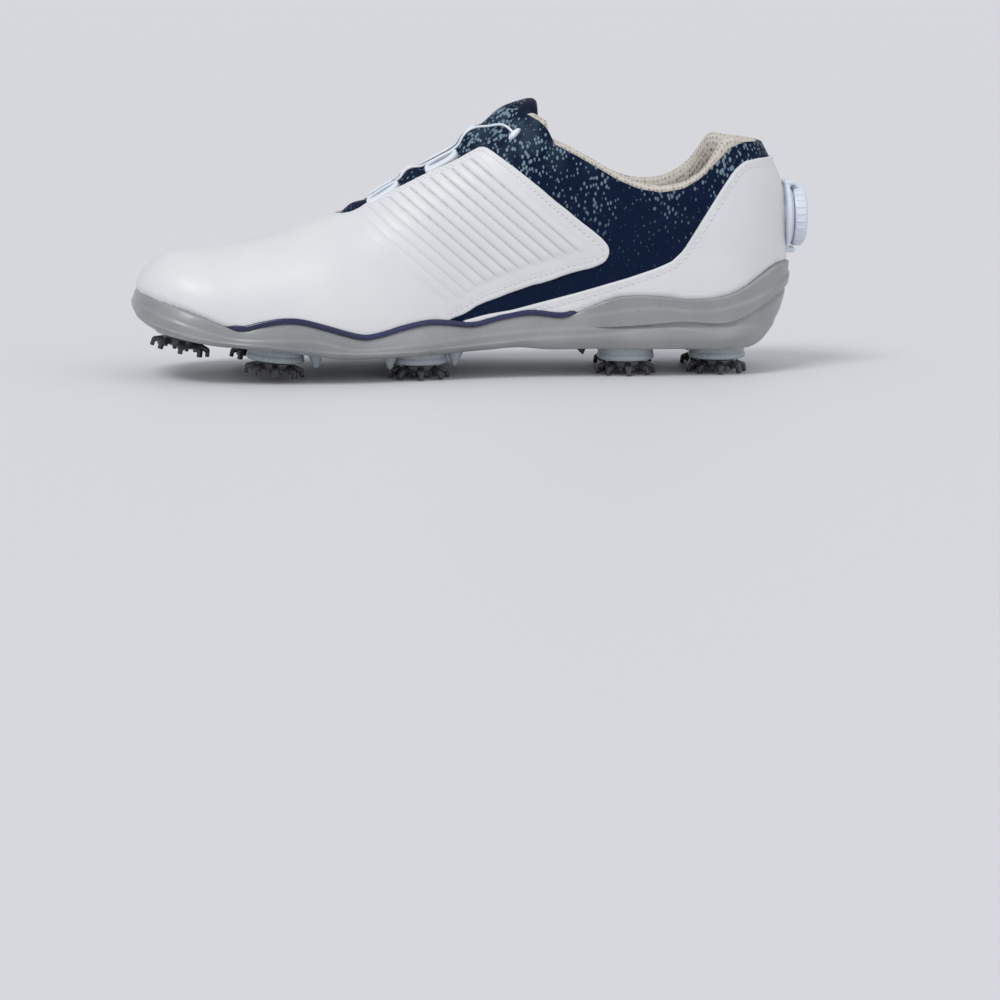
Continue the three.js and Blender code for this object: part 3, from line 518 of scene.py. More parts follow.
finishes = {
    "leather": whiteLeather("whiteLeather", False), "ribbed": whiteLeather("ribbedLeather", True),
    "navy": navyPrint(),
    "binding": plainFinish("navyBinding", ((0.003, 0.007, 0.025), (0.006, 0.012, 0.04)), (0.38, 0.5),
                           (1500, 0.00008),
                           {"Specular IOR Level": 0.12}),
    "knit": knitMesh(),
    "thread": plainFinish("thread", ((0.70, 0.71, 0.73), (0.80, 0.81, 0.83)), (0.55, 0.7), (3000, 0.0001)),
    "board": plainFinish("board", ((0.42, 0.36, 0.28), (0.52, 0.46, 0.37)), (0.75, 0.9), (800, 0.0002)),
    "foam": plainFinish("foam", ((0.62, 0.61, 0.58), (0.70, 0.69, 0.66)), (0.8, 0.95), (1400, 0.0002)),
    "steel": plainFinish("steel", ((0.52, 0.53, 0.55), (0.62, 0.63, 0.65)), (0.25, 0.4), (900, 0.00004),
                         {"Metallic": 1.0}),
    "sole": plainFinish("soleGrey", ((0.265, 0.275, 0.28), (0.33, 0.338, 0.338)), (0.26, 0.4),
                        (700, 0.00006),
                        {"Subsurface Weight": 0.25, "Subsurface Radius": (0.006, 0.006, 0.006),
                         "Coat Weight": 0.15,
                         "Coat Roughness": 0.25}),
    "trim": plainFinish("trimNavy", ((0.004, 0.010, 0.055), (0.008, 0.018, 0.085)), (0.16, 0.28),
                        (900, 0.00005),
                        {"Coat Weight": 0.3, "Coat Roughness": 0.12}),
    "socket": plainFinish("socketBlue", ((0.36, 0.41, 0.45), (0.45, 0.50, 0.54)), (0.2, 0.34),
                          (600, 0.00006),
                          {"Subsurface Weight": 0.3, "Subsurface Radius": (0.006, 0.007, 0.008),
                           "Transmission Weight": 0.15}),
    "cleat": plainFinish("cleatSmoke", ((0.018, 0.019, 0.024), (0.05, 0.052, 0.06)), (0.14, 0.3),
                         (500, 0.00008),
                         {"Coat Weight": 0.4, "Coat Roughness": 0.1}),
    "teeth": plainFinish("teethBlack", ((0.012, 0.012, 0.014), (0.026, 0.026, 0.03)), (0.3, 0.45),
                         (600, 0.00008)),
    "shell": plainFinish("reelWhite", ((0.70, 0.755, 0.84), (0.76, 0.81, 0.88)), (0.22, 0.34),
                         (700, 0.00004),
                         {"Subsurface Weight": 0.08, "Subsurface Radius": (0.002, 0.002, 0.002)}),
    "inner": plainFinish("acetal", ((0.05, 0.05, 0.056), (0.08, 0.08, 0.088)), (0.35, 0.5), (700, 0.00005)),
    "cable": plainFinish("cableCoat", ((0.76, 0.80, 0.87), (0.82, 0.86, 0.91)), (0.25, 0.38),
                         (2000, 0.00005)),
    "label": plainFinish("labelFilm", ((0.52, 0.55, 0.60), (0.60, 0.62, 0.66)), (0.2, 0.32),
                         (900, 0.00004)),
}


def dress(piece, finish):
    piece.data.materials.clear()
    piece.data.materials.append(finishes[finish])
    for face in piece.data.polygons:
        face.material_index = 0


def pairs(*points):
    return np.array(points, float)


def sideToFront(side, line):
    return np.stack(toFront(side, line[:, 0], shareAt(side, line[:, 0], line[:, 1])), axis=1)


def topToFront(side, line):
    return np.stack(toFront(side, line[:, 0], shareOut(side, line[:, 0], line[:, 1])), axis=1)


def sideToBack(side, line):
    return np.stack(toBack(side, line[:, 0], line[:, 1]), axis=1)


soleLines = {
    "under": pairs((0, 33.7), (3, 28.5), (8.5, 24.4), (19.5, 20.9), (36.7, 17.5), (50, 16.4), (76, 13.5),
                   (92, 11.2), (114, 11), (160, 13.1), (175, 14), (190, 12.8), (213, 13), (281, 12.6),
                   (288, 14.6), (292, 17.4), (296, 21.6), (300, 27.2), (303, 32.5)),
    "top": pairs((-1, 41.5), (5.1, 39.5), (19.4, 35.2), (30.5, 31.1), (41.2, 26.7), (49, 25.1),
                 (56.7, 26.8),
                 (66.4, 28.3), (75.1, 28), (84.8, 25.5), (102.4, 20.5), (110.3, 21.3), (121.1, 24.2),
                 (133, 26.2),
                 (141.9, 25.8), (153.9, 24.6), (166.7, 27.5), (180.5, 29.5), (195.2, 28.1), (201.1, 29.7),
                 (209.9, 33), (219.6, 36.3), (229.3, 37.3), (243.9, 36.4), (254.7, 35.2), (269.5, 36.6),
                 (278.7, 40.2), (285.1, 44.5), (294.1, 49.9), (304, 50)),
}
underLine = through(soleLines["under"])
wallLine = through(soleLines["top"])


def smoothStep(value):
    value = np.clip(value, 0, 1)
    return value * value * (3 - 2 * value)


def tuckUnderLip(x, z):
    # leather thins where it goes down behind the sole's lip
    return -1.9 * smoothStep((wallLine(x) + 0.2 - z) / 1.8 + 0.5)


wing = {
    "rear": rounded([(155.5, 101.2), (161.6, 104.6), (170, 98.8), (180.9, 90.4), (191.8, 81.2), (203.2, 72),
                     (213.6, 63.8), (216.8, 60), (217.1, 56.5), (215.1, 52.9), (210.2, 50.6), (188.2, 44.2),
                     (172.2, 39.6), (157.6, 34.5), (141.7, 27.1), (135, 20.5)], 3.2, closed=False),
    "throat": pairs((94, 0), (94.6, 4.5), (97, 8.2), (101, 10.6), (105, 10.8), (109, 9.6), (113, 10.4),
                    (125, 11.8),
                    (137, 11.6), (150, 12.2)),                   # station, distance out
    "foot": pairs((134, 0.02), (118, 0.02), (100, 0.02), (80, 0.02), (60, 0.02), (45, 0.02), (32, 0.02),
                  (20, 0.02),
                  (12, 0.02), (7, 0.02), (4, 0.02), (2.6, 0.02)),
    "sheet": {"top": 2.3, "under": -0.2, "round": 0.8, "step": 1.5, "edgeStep": 1.1},
    "ribs": {"count": 13, "first": 178.2, "pitch": 4.75, "height": 0.75, "slope": math.radians(40.6)},
    "stitch": {"inset": 2.0, "rowGap": 2.2, "length": 1.9, "gap": 1.1, "width": 0.32,
               "lift": 2.1, "throatLift": 2.25, "step": 0.25},
}


def ribAcross(x, z):
    return math.sin(wing["ribs"]["slope"]) * x + math.cos(wing["ribs"]["slope"]) * z


def ribHeight(x, z):
    ribs = wing["ribs"]
    across = ribAcross(x, z)
    k = np.clip(np.round((ribs["first"] - across) / ribs["pitch"]), 0, ribs["count"] - 1)
    gap = np.abs(ribs["first"] - k * ribs["pitch"] - across) / ribs["pitch"]
    fade = np.clip((across - 112) / 30, 0, 1) * smoothStep((z - 26) / 16)
    return ribs["height"] * np.sqrt(np.clip(1 - (gap / 0.46) ** 2, 0, 1)) * fade


def ribbedArea(flat):
    place = frontPoint(flat[:, 0], flat[:, 1])
    x, z = place[:, 0] - soleStart, place[:, 2]
    return (ribAcross(x, z) > 110) & (z > 30) & (x < 214)


def ribMarks(flat, edge):
    place = frontPoint(flat[:, 0], flat[:, 1])
    x, z = place[:, 0] - soleStart, place[:, 2]
    across = ribAcross(x, z)
    phase = (wing["ribs"]["first"] - across) / wing["ribs"]["pitch"]
    strength = np.clip((across - 116) / 26, 0, 1) * smoothStep((z - 28) / 14)
    strength = strength * smoothStep((edge - 4.8) / 1.5)
    # y is the groove strength: it sets the dent and how much painted shade darkens each groove
    return np.stack([phase, strength * (phase < wing["ribs"]["count"]) * (phase > -0.8)], axis=1)


def vampRelief(flat, edge):
    place = frontPoint(flat[:, 0], flat[:, 1])
    x, z = place[:, 0] - soleStart, place[:, 2]
    away = smoothStep((edge - 4.6) / 2.4)
    behind = np.clip((x - 100) / 10, 0, 1)
    seam = -0.28 * np.exp(-((edge - wing["stitch"]["inset"]) / 0.55) ** 2) * (z > wallLine(x) + 3)
    return ribHeight(x, z) * away * behind + seam + tuckUnderLip(x, z)


def wingChain(side):
    foot = np.stack(toFront(side, wing["foot"][:, 0], wing["foot"][:, 1]), axis=1)
    rear = sideToFront(side, wing["rear"])
    throat = topToFront(side, wing["throat"])
    return np.vstack([foot[::-1], rear[::-1], throat[::-1]])


def buildVamp():
    outline = np.vstack([wingChain(medial), wingChain(lateral)[::-1][1:]])
    vamp = panel("vamp_leather", frontPoint, outline, wing["sheet"], relief=vampRelief, fine=ribbedArea,
                 marks=ribMarks)
    dress(vamp, "ribbed")
    finishPiece(vamp, "root", "white_leather", "vamp")


def stitchRow(name, chart, line, lift, spec):
    # a row of short threads that dive into the sheet at both ends
    step = spec["step"]
    walk = walkLine(line, step, closed=False)
    pace = spec["length"] + spec["gap"]
    count = int(len(walk) * step / pace)
    points, faces = [], []
    rise = lift + np.array([-0.22, 0.12, 0.2, 0.12, -0.22])
    starts = (np.arange(count) * pace / step).astype(int)
    ends = np.minimum(starts + int(spec["length"] / step), len(walk) - 1)
    picks = np.linspace(starts, ends, 5).astype(int).T
    spines = onSurface(chart, walk[picks, 0], walk[picks, 1], np.broadcast_to(rise, picks.shape))
    for k in range(count):
        spine = spines[k]
        if spine[:, 2].min() < wallLine(spine[2, 0] - soleStart) + 0.8:   # gone under the sole's lip
            continue
        along = spine[-1] - spine[0]
        if np.linalg.norm(along) < 0.2:
            continue
        along /= np.linalg.norm(along)
        up = spine[2] - (spine[0] + spine[-1]) / 2
        up = up - along * (up @ along)
        up /= np.linalg.norm(up)
        across = np.cross(along, up)
        start = len(points)
        for ring, thick in zip(spine, (0.55, 1, 1, 1, 0.55)):
            for j in range(6):
                angle = j * math.pi / 3
                spoke = math.cos(angle) * across + 0.8 * math.sin(angle) * up
                points.append(ring + spec["width"] * thick * spoke)
        for r in range(4):
            for j in range(6):
                a, b = start + r * 6 + j, start + r * 6 + (j + 1) % 6
                faces.append((a, a + 6, b + 6, b))
        faces.append(tuple(start + j for j in range(6)))
        faces.append(tuple(start + 24 + j for j in reversed(range(6))))
    piece = meshPiece(name, points, faces, 60)
    fixNormals(piece)
    dress(piece, "thread")
    finishPiece(piece, "root", "white_leather")


def fixNormals(piece):
    bpy.ops.object.select_all(action="DESELECT")
    piece.select_set(True)
    bpy.context.view_layer.objects.active = piece
    bpy.ops.object.mode_set(mode="EDIT")
    bpy.ops.mesh.select_all(action="SELECT")
    bpy.ops.mesh.normals_make_consistent(inside=False)
    bpy.ops.object.mode_set(mode="OBJECT")
    piece.select_set(False)


def leftOf(line):
    along = np.gradient(line, axis=0)
    along /= np.linalg.norm(along, axis=1, keepdims=True)
    return np.stack([-along[:, 1], along[:, 0]], axis=1)


def buildWingStitches():
    spec = wing["stitch"]
    for side, label in bothSides:
        rear = sideToFront(side, wing["rear"])
        throat = topToFront(side, wing["throat"])
        line = walkLine(np.vstack([rear[::-1], throat[::-1]]), 1.0, closed=False)
        stitchRow(f"wing_stitch_{label}", frontPoint, line - leftOf(line) * side * spec["inset"],
                  spec["lift"], spec)
        second = walkLine(throat, 1.0, closed=False)
        second = second + leftOf(second) * side * (spec["inset"] + spec["rowGap"])
        stitchRow(f"throat_stitch_{label}", frontPoint, second, spec["throatLift"], spec)


collar = {
    "edge": pairs((189.6, 107.4), (196.2, 104.3), (202.9, 100.8), (212.6, 95.2), (221, 90.2), (230.5, 86.1),
                  (240.7, 84.4), (251.2, 86), (259.4, 90.8), (266.9, 98.2), (275, 105), (280.6, 106.6),
                  (286, 106.2)),
    "heelTop": 105.6, "heelLow": 90,
    "under": pairs((280, 92), (271, 82), (263, 70), (257, 59), (249, 47.5), (241, 43.6), (225, 38.6),
                   (203, 32.5),
                   (189, 29), (171, 24.5), (157, 21.8), (145, 20.5), (138, 22), (149, 33.5), (162, 39.5),
                   (187, 49.4), (206, 55.6), (207.5, 60), (198, 67.6), (186, 76), (170, 86)),
    "sheet": {"top": 1.25, "under": 0.1, "round": 0.5, "step": 2.4, "edgeStep": 1.6},
    "flapSheet": {"top": 1.9, "under": 0.2, "round": 0.5, "step": 2.0, "edgeStep": 1.4},
    "flap": {"edge": pairs((176.2, 120.6), (182.4, 118.4), (187, 115.6), (190, 112.4), (192.6, 106.2)),
             "under": pairs((173.6, 87.6), (165, 92), (156, 94), (151, 95.5)),
             "throat": pairs((151, 13.4), (160, 13.6), (168, 13.4), (174.5, 12.6))},
}


def buildQuarter():
    top = walkLine(collar["edge"], 3, closed=False)
    low = collar["under"]
    medialTop, lateralTop = sideToBack(medial, top), sideToBack(lateral, top)
    medialLow, lateralLow = sideToBack(medial, low), sideToBack(lateral, low)
    outline = np.vstack([medialTop, [(0, collar["heelTop"])], lateralTop[::-1], lateralLow[::-1],
                         [(0, collar["heelLow"])], medialLow])
    quarter = panel("collar_quarter_print", backPoint, outline, collar["sheet"])
    dress(quarter, "navy")
    finishPiece(quarter, "root", "navy_print", "collar_quarter")
    for side, label in bothSides:
        flap = collar["flap"]
        line = np.vstack([topToFront(side, flap["throat"]),
                          sideToFront(side, rounded(flap["edge"], 3, closed=False)),
                          sideToFront(side, flap["under"])])
        made = panel(f"eyestay_{label}_print", frontPoint, line, collar["flapSheet"])
        dress(made, "navy")
        finishPiece(made, "root", "navy_print", f"eyestay_{label}")


counter = {
    "edge": pairs((139, 22.5), (149, 27.0), (160, 29.6), (171.9, 31.4), (189.6, 35.8), (203.3, 39.3),
                  (225.7, 45.7), (238.5, 50), (245.4, 53), (250.8, 58), (256.1, 66.2), (261.6, 74.8),
                  (268.7, 86), (274.4, 94),
                  (279.2, 97.8), (286, 98.6)),
    "foot": pairs((291, 42), (286, 34), (278, 26), (266, 23), (240, 22.2), (200, 21.6), (170, 20.4),
                  (150, 19.4),
                  (142, 19)),
    "heelTop": 98.4, "heelLow": 44, "reelHole": 12.9, "reelHeight": 71.0, "stitchInset": 3.0,
    "stitchLift": 2.15,
    "sheet": {"top": 2.3, "under": -0.2, "round": 0.75, "step": 2.0, "edgeStep": 1.2},
}


def counterRelief(flat, edge):
    rim = 0.5 * np.exp(-((edge - 0.9) / 0.7) ** 2)
    seam = -0.25 * np.exp(-((edge - counter["stitchInset"]) / 0.6) ** 2)
    station = backPoint(flat[:, 0], flat[:, 1])[:, 0] - soleStart
    above = smoothStep((flat[:, 1] - wallLine(station)) / 3)
    return (rim + seam) * above + tuckUnderLip(station, flat[:, 1])


def buildCounter():
    top = walkLine(counter["edge"], 3, closed=False)
    medialTop, lateralTop = sideToBack(medial, top), sideToBack(lateral, top)
    medialFoot = sideToBack(medial, counter["foot"])
    lateralFoot = sideToBack(lateral, counter["foot"])
    outline = np.vstack([medialTop, [(0, counter["heelTop"])], lateralTop[::-1], lateralFoot[::-1],
                         [(0, counter["heelLow"])], medialFoot])
    turn = np.linspace(0, 2 * math.pi, 40, endpoint=False)
    radius = counter["reelHole"]
    hole = np.stack([radius * np.cos(turn), counter["reelHeight"] + radius * np.sin(turn)], axis=1)
    made = panel("heel_counter_leather", backPoint, outline, counter["sheet"], [hole], counterRelief)
    dress(made, "leather")
    finishPiece(made, "root", "white_leather", "heel_counter")
    for side, label in bothSides:
        line = walkLine(sideToBack(side, counter["edge"]), 1.0, closed=False)
        line = line + leftOf(line) * side * counter["stitchInset"]
        stitchRow(f"counter_stitch_{label}", backPoint, line, counter["stitchLift"], wing["stitch"])


buildVamp()
buildWingStitches()
buildQuarter()
buildCounter()
print("upper panels made")


roundSteps = np.concatenate([(1 - np.cos(np.linspace(0, 1.25, 34))) * 38 / (1 - math.cos(1.25)),
                             np.linspace(38, heelEnd - toeTip, 150)[1:]])


def contour(zs, out):
    # closed line round the foot form at a height per place, pushed out level; starts at the toe
    half = []
    u = toeTip + roundSteps
    for side in (medial, lateral):
        full = 30 * smoothStep((u - 236) / 34)   # keeps the line full round the heel
        z = np.maximum(zs, np.maximum(last["base"](u) + 0.2, full))
        start = search(lambda v: section(side, v, np.ones_like(v))[..., 2] < z, np.full_like(u, toeTip),
                       u + 12)
        near = np.clip(1 - (u - toeTip) / 30, 0, 1)
        walk = u + (start - toeTip) * near ** 2 * (start < u + 11)
        half.append(section(side, walk, shareAt(side, walk, z)))
    line = np.vstack([half[0], half[1][-2:0:-1]])
    along = np.roll(line, -1, axis=0) - np.roll(line, 1, axis=0)
    along[:, 2] = 0
    along /= np.maximum(np.linalg.norm(along, axis=1, keepdims=True), 1e-9)
    away = np.stack([along[:, 1], -along[:, 0], along[:, 2]], axis=1)
    pushed = line + away * np.concatenate([out, out[-2:0:-1]])[:, None]
    pushed[:, 2] = np.concatenate([zs, zs[-2:0:-1]])
    return pushed


roundWalk = toeTip + roundSteps
roundPlaces = walkToStation(roundWalk, 37.5)


def shell(name, rows, columns, floorRelief=None, smoothAngle=40):
    # rings joined into a wall, with the first and last ring closed across the shoe
    count, half = len(rows[0]), len(roundSteps)
    points = [p for ring in rows for p in ring]
    faces = []
    for r in range(len(rows) - 1):
        for k in range(count):
            a, b = r * count + k, r * count + (k + 1) % count
            faces.append((a, a + count, b + count, b))
    for row, flip in ((0, False), (len(rows) - 1, True)):
        ring, start = rows[row], row * count
        spots = {}
        for k in range(1, half - 1):
            near, far = ring[k], ring[count - k]
            for c in range(1, columns):
                spots[k, c] = len(points)
                point = near + (far - near) * c / columns
                if floorRelief and flip:
                    point = point + np.array([0, 0, floorRelief(point[0] - soleStart, c / columns)])
                points.append(point)

        def at(k, c):
            if k in (0, half - 1):
                return start + k
            if c == 0:
                return start + k
            return start + count - k if c == columns else spots[k, c]
        for k in range(half - 1):
            for c in range(columns):
                corners = [at(k, c), at(k + 1, c), at(k + 1, c + 1), at(k, c + 1)]
                corners = [v for i, v in enumerate(corners) if v != corners[i - 1]]
                if len(corners) > 2:
                    faces.append(tuple(corners[::-1] if flip else corners))
    piece = meshPiece(name, np.array(points), faces, smoothAngle)
    fixNormals(piece)
    return piece


cleats = {   # station, distance across, clearance and tilt in degrees
    "toe": (20.5, -8, 11, 13),
    "medial_front": (63, -34, 2.6, 6), "lateral_front": (58, 24, 3, 6),
    "medial_ball": (130, -28, 0, 0), "lateral_ball": (134, 33, 0, 0),
    "medial_heel_front": (226.5, -20, 0, 0), "lateral_heel_front": (230, 19, 0, 0),
    "medial_heel_back": (269.5, -18, 0, 0), "lateral_heel_back": (271, 15, 0, 0),
}

outsoleShape = {
    "rows": 26, "columns": 16, "out": 2.5, "belly": 0.9, "tuck": 3.4,
    "underRings": ((2.2, 0.22), (5, 0.32), (9, 0.32)),   # how far in from the wall, and drop
    "creases": (   # line of height by station, step, softness
        (through([(0, 36.5), (20, 29), (45, 21.2), (80, 20), (100, 15.5), (125, 17), (150, 19.5), (180, 22),
                  (205, 23)]), 0.7, 1.3),
        (through([(0, 31), (15, 26), (35, 20.5), (60, 18), (90, 14.5), (120, 14), (160, 16.5), (185, 18.5),
                  (215, 20), (245, 23), (270, 22), (300, 38)]), 0.8, 1.2),
    ),
}


def wallOut(t, z, top, low, spec):
    v = (top - z) / np.maximum(top - low, 1)
    out = spec["out"] + spec["belly"] * np.sin(np.clip(v, 0, 1) * math.pi)
    for line, step, soft in spec["creases"]:
        out = out - step * smoothStep((z - line(t)) / soft + 0.5) + step * 0.5
    out = out - spec["tuck"] * np.clip((v - 0.72) / 0.28, 0, 1) ** 2.2
    out = out - 1.1 * np.clip(1 - v * (top - low) / 1.1, 0, 1) ** 2
    return out


pods = {"reach": 12.5, "top": 25, "fade": 9, "out": 1.9}


def podOut(t, z):
    # the wall swells where a cleat pod stands under it
    out = np.zeros_like(t)
    for station, _, rise, _ in cleats.values():
        reach = np.exp(-((t - station) / pods["reach"]) ** 2)
        reach = reach * smoothStep((pods["top"] + rise - z) / pods["fade"])
        out = np.maximum(out, reach)
    return pods["out"] * out


def buildOutsole():
    spec = outsoleShape
    low, top = underLine(roundPlaces), wallLine(roundPlaces)
    for _ in range(4):   # the underside follows the real place of the heel's curve
        ring = contour(low, wallOut(roundPlaces, low, top, low, spec))
        places = np.where(roundWalk > 240, ring[:len(roundWalk), 0] - soleStart, roundPlaces)
        low = underLine(places)
    lip = contour(top - 0.6, np.full_like(top, -2.2))
    rows = [contour(np.maximum(last["base"](roundPlaces) - 0.6, low + 0.8), np.full_like(top, -3.0)), lip]
    for v in np.linspace(0, 1, spec["rows"]):
        z = top + (low - top) * v
        rows.append(contour(z, wallOut(roundPlaces, z, top, low, spec) + podOut(roundPlaces, z)))
    base = wallOut(roundPlaces, low, top, low, spec)
    for inset, drop in spec["underRings"]:
        ring = contour(low - drop, base - inset * smoothStep(roundSteps / 12 + 0.15))
        stations = ring[:, 0] - soleStart
        ring[:, 2] = np.where(stations > 240, underLine(stations) - drop, ring[:, 2])
        rows.append(ring)

    def relief(x, share):
        edge = min(share, 1 - share) * 2
        hollow = 1.8 * math.exp(-((x - 178) / 24) ** 2) * edge
        groove = 0.45 * math.cos(x * 0.62) * (edge > 0.2) * (x > 40) * (x < 285)
        return hollow + groove
    sole = shell("outsole_rubber", rows, spec["columns"], relief)
    dress(sole, "sole")
    finishPiece(sole, "root", "sole_tpu", "outsole")


def wallStrip(name, start, end, low, high, outs, finish, slot, node, side=None, taper=9):
    # a closed band lying on the wall: outs lists (share of height, distance out) round its section
    walk = np.unique(np.concatenate([np.arange(start, min(end, heelStart), 2.0), [min(end, heelStart)],
                                     np.arange(heelStart, end, 2.2), [end]]))
    sides = [side] if side else [medial, lateral]
    lines = []
    for s in sides:
        t = walkToStation(walk, 38.5)
        rows = []
        for share, out in outs:
            z = low(t) + (high(t) - low(t)) * share
            zs = np.maximum(z, last["base"](walk) + 0.2)
            point = section(s, walk, shareAt(s, walk, zs))
            along = np.gradient(point, axis=0)
            along[:, 2] = 0
            if not side:
                along[-1] = (0, -s, 0)
            along /= np.linalg.norm(along, axis=1, keepdims=True)
            away = np.stack([along[:, 1], -along[:, 0], along[:, 2]], axis=1) * -s
            fade = smoothStep((walk - start) / taper) * (smoothStep((end - walk) / taper) if side else 1)
            fade = 0.12 + 0.88 * fade
            distance = out(t, z) if callable(out) else np.full_like(t, out)
            point = point + away * (distance * fade)[:, None]
            point[:, 2] = z
            rows.append(point)
        lines.append(np.stack(rows, axis=1))
    band = lines[0] if side else np.concatenate([lines[0], lines[1][-2::-1]])
    piece = meshPiece(name, band.reshape(-1, 3), tubeFaces(*band.shape[:2]), 42)
    fixNormals(piece)
    dress(piece, finish)
    finishPiece(piece, "root", slot, node)


heelCupShape = {
    "start": 190.0, "taper": 34, "out": 3.6, "step": 0.8,
    "low": through([(190, 23), (205, 22.5), (225, 23), (250, 25), (275, 25), (302, 41)]),
    "ridge": through([(190, 26), (215, 29.5), (235, 32), (262, 30.5), (285, 36), (302, 46.5)]),
}


def buildHeelCup():
    spec = heelCupShape

    def face(t, z):
        step = smoothStep((spec["ridge"](t) - z) / 1.6 + 0.5)
        return spec["out"] + spec["step"] * step + podOut(t, z) * 0.7

    def high(t):
        return wallLine(t) + 0.3
    outs = [(0.0, -0.5), (0.02, 2.6)]
    outs += [(share, face) for share in np.linspace(0.06, 0.94, 16)]
    outs += [(0.985, 3.0), (1.0, 2.2), (1.0, -0.5)]
    wallStrip("heel_cup_rubber", spec["start"], heelEnd, spec["low"], high, outs, "sole", "heel_tpu",
              "heel_cup",
              taper=spec["taper"])


trim = {
    "start": 38, "end": 206, "below": 0.5, "above": 2.0,
    "outs": [(0.0, 0.9), (0.0, 2.3), (0.15, 2.9), (0.5, 3.1), (0.85, 2.9), (1.0, 2.4), (1.0, 0.9)],
}


def buildTrims():
    def low(t):
        return wallLine(t) - trim["below"]

    def high(t):
        return wallLine(t) + trim["above"]
    for side, label in bothSides:
        wallStrip(f"trim_{label}_strip", trim["start"], trim["end"], low, high, trim["outs"], "trim",
                  "navy_gloss", f"trim_{label}", side)


buildOutsole()
buildHeelCup()
buildTrims()
print("sole made")


def turned(name, profile, steps, axis, centre, matrix=None, smoothAngle=35):
    # spins a half outline of (radius, distance along) about an axis
    bpy.ops.object.select_all(action="DESELECT")
    bpy.ops.mesh.primitive_circle_add(vertices=3, radius=0.001)
    piece = bpy.context.object
    piece.name = name
    mesh = piece.data
    mesh.clear_geometry()
    mesh.from_pydata([(r * mm, 0, h * mm) for r, h in profile],
                     [(i, i + 1) for i in range(len(profile) - 1)], [])
    bpy.ops.object.mode_set(mode="EDIT")
    bpy.ops.mesh.select_all(action="SELECT")
    bpy.ops.mesh.spin(steps=steps, angle=2 * math.pi, center=(0, 0, 0), axis=(0, 0, 1))
    bpy.ops.mesh.select_all(action="SELECT")
    bpy.ops.mesh.remove_doubles(threshold=0.000005)
    bpy.ops.mesh.normals_make_consistent(inside=False)
    bpy.ops.object.mode_set(mode="OBJECT")
    bpy.ops.object.shade_smooth_by_angle(angle=math.radians(smoothAngle))
    if axis == "X":
        mesh.transform(Matrix.Rotation(math.pi / 2, 4, "Y"))
    mesh.transform(Matrix.Translation(Vector(centre) * mm) @ (matrix or Matrix()))
    return piece


def cleatMatrix(place):
    t, y, z, tilt = place
    move = Matrix.Translation(Vector((t + soleStart, y, z)) * mm)
    return move @ Matrix.Rotation(math.radians(tilt), 4, "Y")


def roundedBlock(name, size, bevel, segments=3):
    bpy.ops.object.select_all(action="DESELECT")
    bpy.ops.mesh.primitive_cube_add(size=1)
    piece = bpy.context.object
    piece.name = name
    bpy.ops.object.mode_set(mode="EDIT")
    bpy.ops.mesh.select_all(action="SELECT")
    bpy.ops.transform.resize(value=[v * mm for v in size])
    bpy.ops.object.mode_set(mode="OBJECT")
    edge = piece.modifiers.new("edge", "BEVEL")
    edge.width, edge.segments = bevel * mm, segments
    bpy.ops.object.modifier_apply(modifier="edge")
    return piece


def joinPieces(name, parts):
    bpy.ops.object.select_all(action="DESELECT")
    for part in parts:
        part.select_set(True)
    bpy.context.view_layer.objects.active = parts[0]
    if len(parts) > 1:
        bpy.ops.object.join()
    joined = bpy.context.object
    joined.name = name
    bpy.ops.object.shade_smooth_by_angle(angle=math.radians(38))
    joined.select_set(False)
    return joined


cleatShape = {
    "hub": [(0, 1.4), (3.2, 1.4), (4.2, 2.0), (6.4, 2.2), (8.2, 2.9), (8.9, 4.0), (9.1, 5.4), (8.8, 6.3),
            (5.1, 6.35),
            (5.1, 10.2), (0, 10.2)],
    "legs": 8, "leg": (6.6, 3.3, 2.5), "tip": (2.0, 2.3, 3.6), "prong": (1.5, 1.7, 2.4), "prongs": 8,
    "legAt": (10.0, 3.9, 0.34), "tipAt": (12.8, 1.78, -0.12), "prongAt": (7.4, 2.4, 0.0),   # out, up, lean
}


def leaning(out, height, lean):
    return Matrix.Translation((out * mm, 0, height * mm)) @ Matrix.Rotation(lean, 4, "Y")


def buildCleat(name, place):
    spec = cleatShape
    parts = [turned("hub", spec["hub"], 32, "Z", (0, 0, 0))]
    for k in range(spec["legs"]):
        turn = Matrix.Rotation(2 * math.pi * k / spec["legs"], 4, "Z")
        arm = roundedBlock("arm", spec["leg"], 0.7)
        arm.data.transform(turn @ leaning(*spec["legAt"]))
        tip = roundedBlock("tip", spec["tip"], 0.5)
        tip.data.transform(turn @ leaning(*spec["tipAt"]))
        parts += [arm, tip]
    for k in range(spec["prongs"]):
        turn = Matrix.Rotation(2 * math.pi * (k + 0.5) / spec["prongs"], 4, "Z")
        prong = roundedBlock("prong", spec["prong"], 0.4)
        prong.data.transform(turn @ leaning(*spec["prongAt"]))
        parts.append(prong)
    cleat = joinPieces(f"cleat_{name}_spikes", parts)
    cleat.data.transform(cleatMatrix(place))
    dress(cleat, "cleat")
    finishPiece(cleat, f"cleat_{name}", "cleat_plastic", f"cleat_{name}")


socketShape = {
    "outline": [(0, 10.5), (5.6, 10.5), (5.6, 7.0), (6.2, 6.7), (12.3, 6.7), (13.0, 7.2), (13.3, 8.0),
                (13.2, 9.2),
                (12.9, 9.6), (12.9, 12.6), (13.1, 15.5), (12.6, 17.2), (11.4, 18.4), (0, 18.6)],
}


def buildSocket(name, place):
    socket = turned(f"socket_{name}_cup", socketShape["outline"], 56, "Z", (0, 0, 0))
    socket.data.transform(cleatMatrix(place))
    dress(socket, "socket")
    finishPiece(socket, "root", "socket_plastic", f"socket_{name}")


for cleatName, cleatPlace in cleats.items():
    buildCleat(cleatName, cleatPlace)
    buildSocket(cleatName, cleatPlace)
print("cleats made")


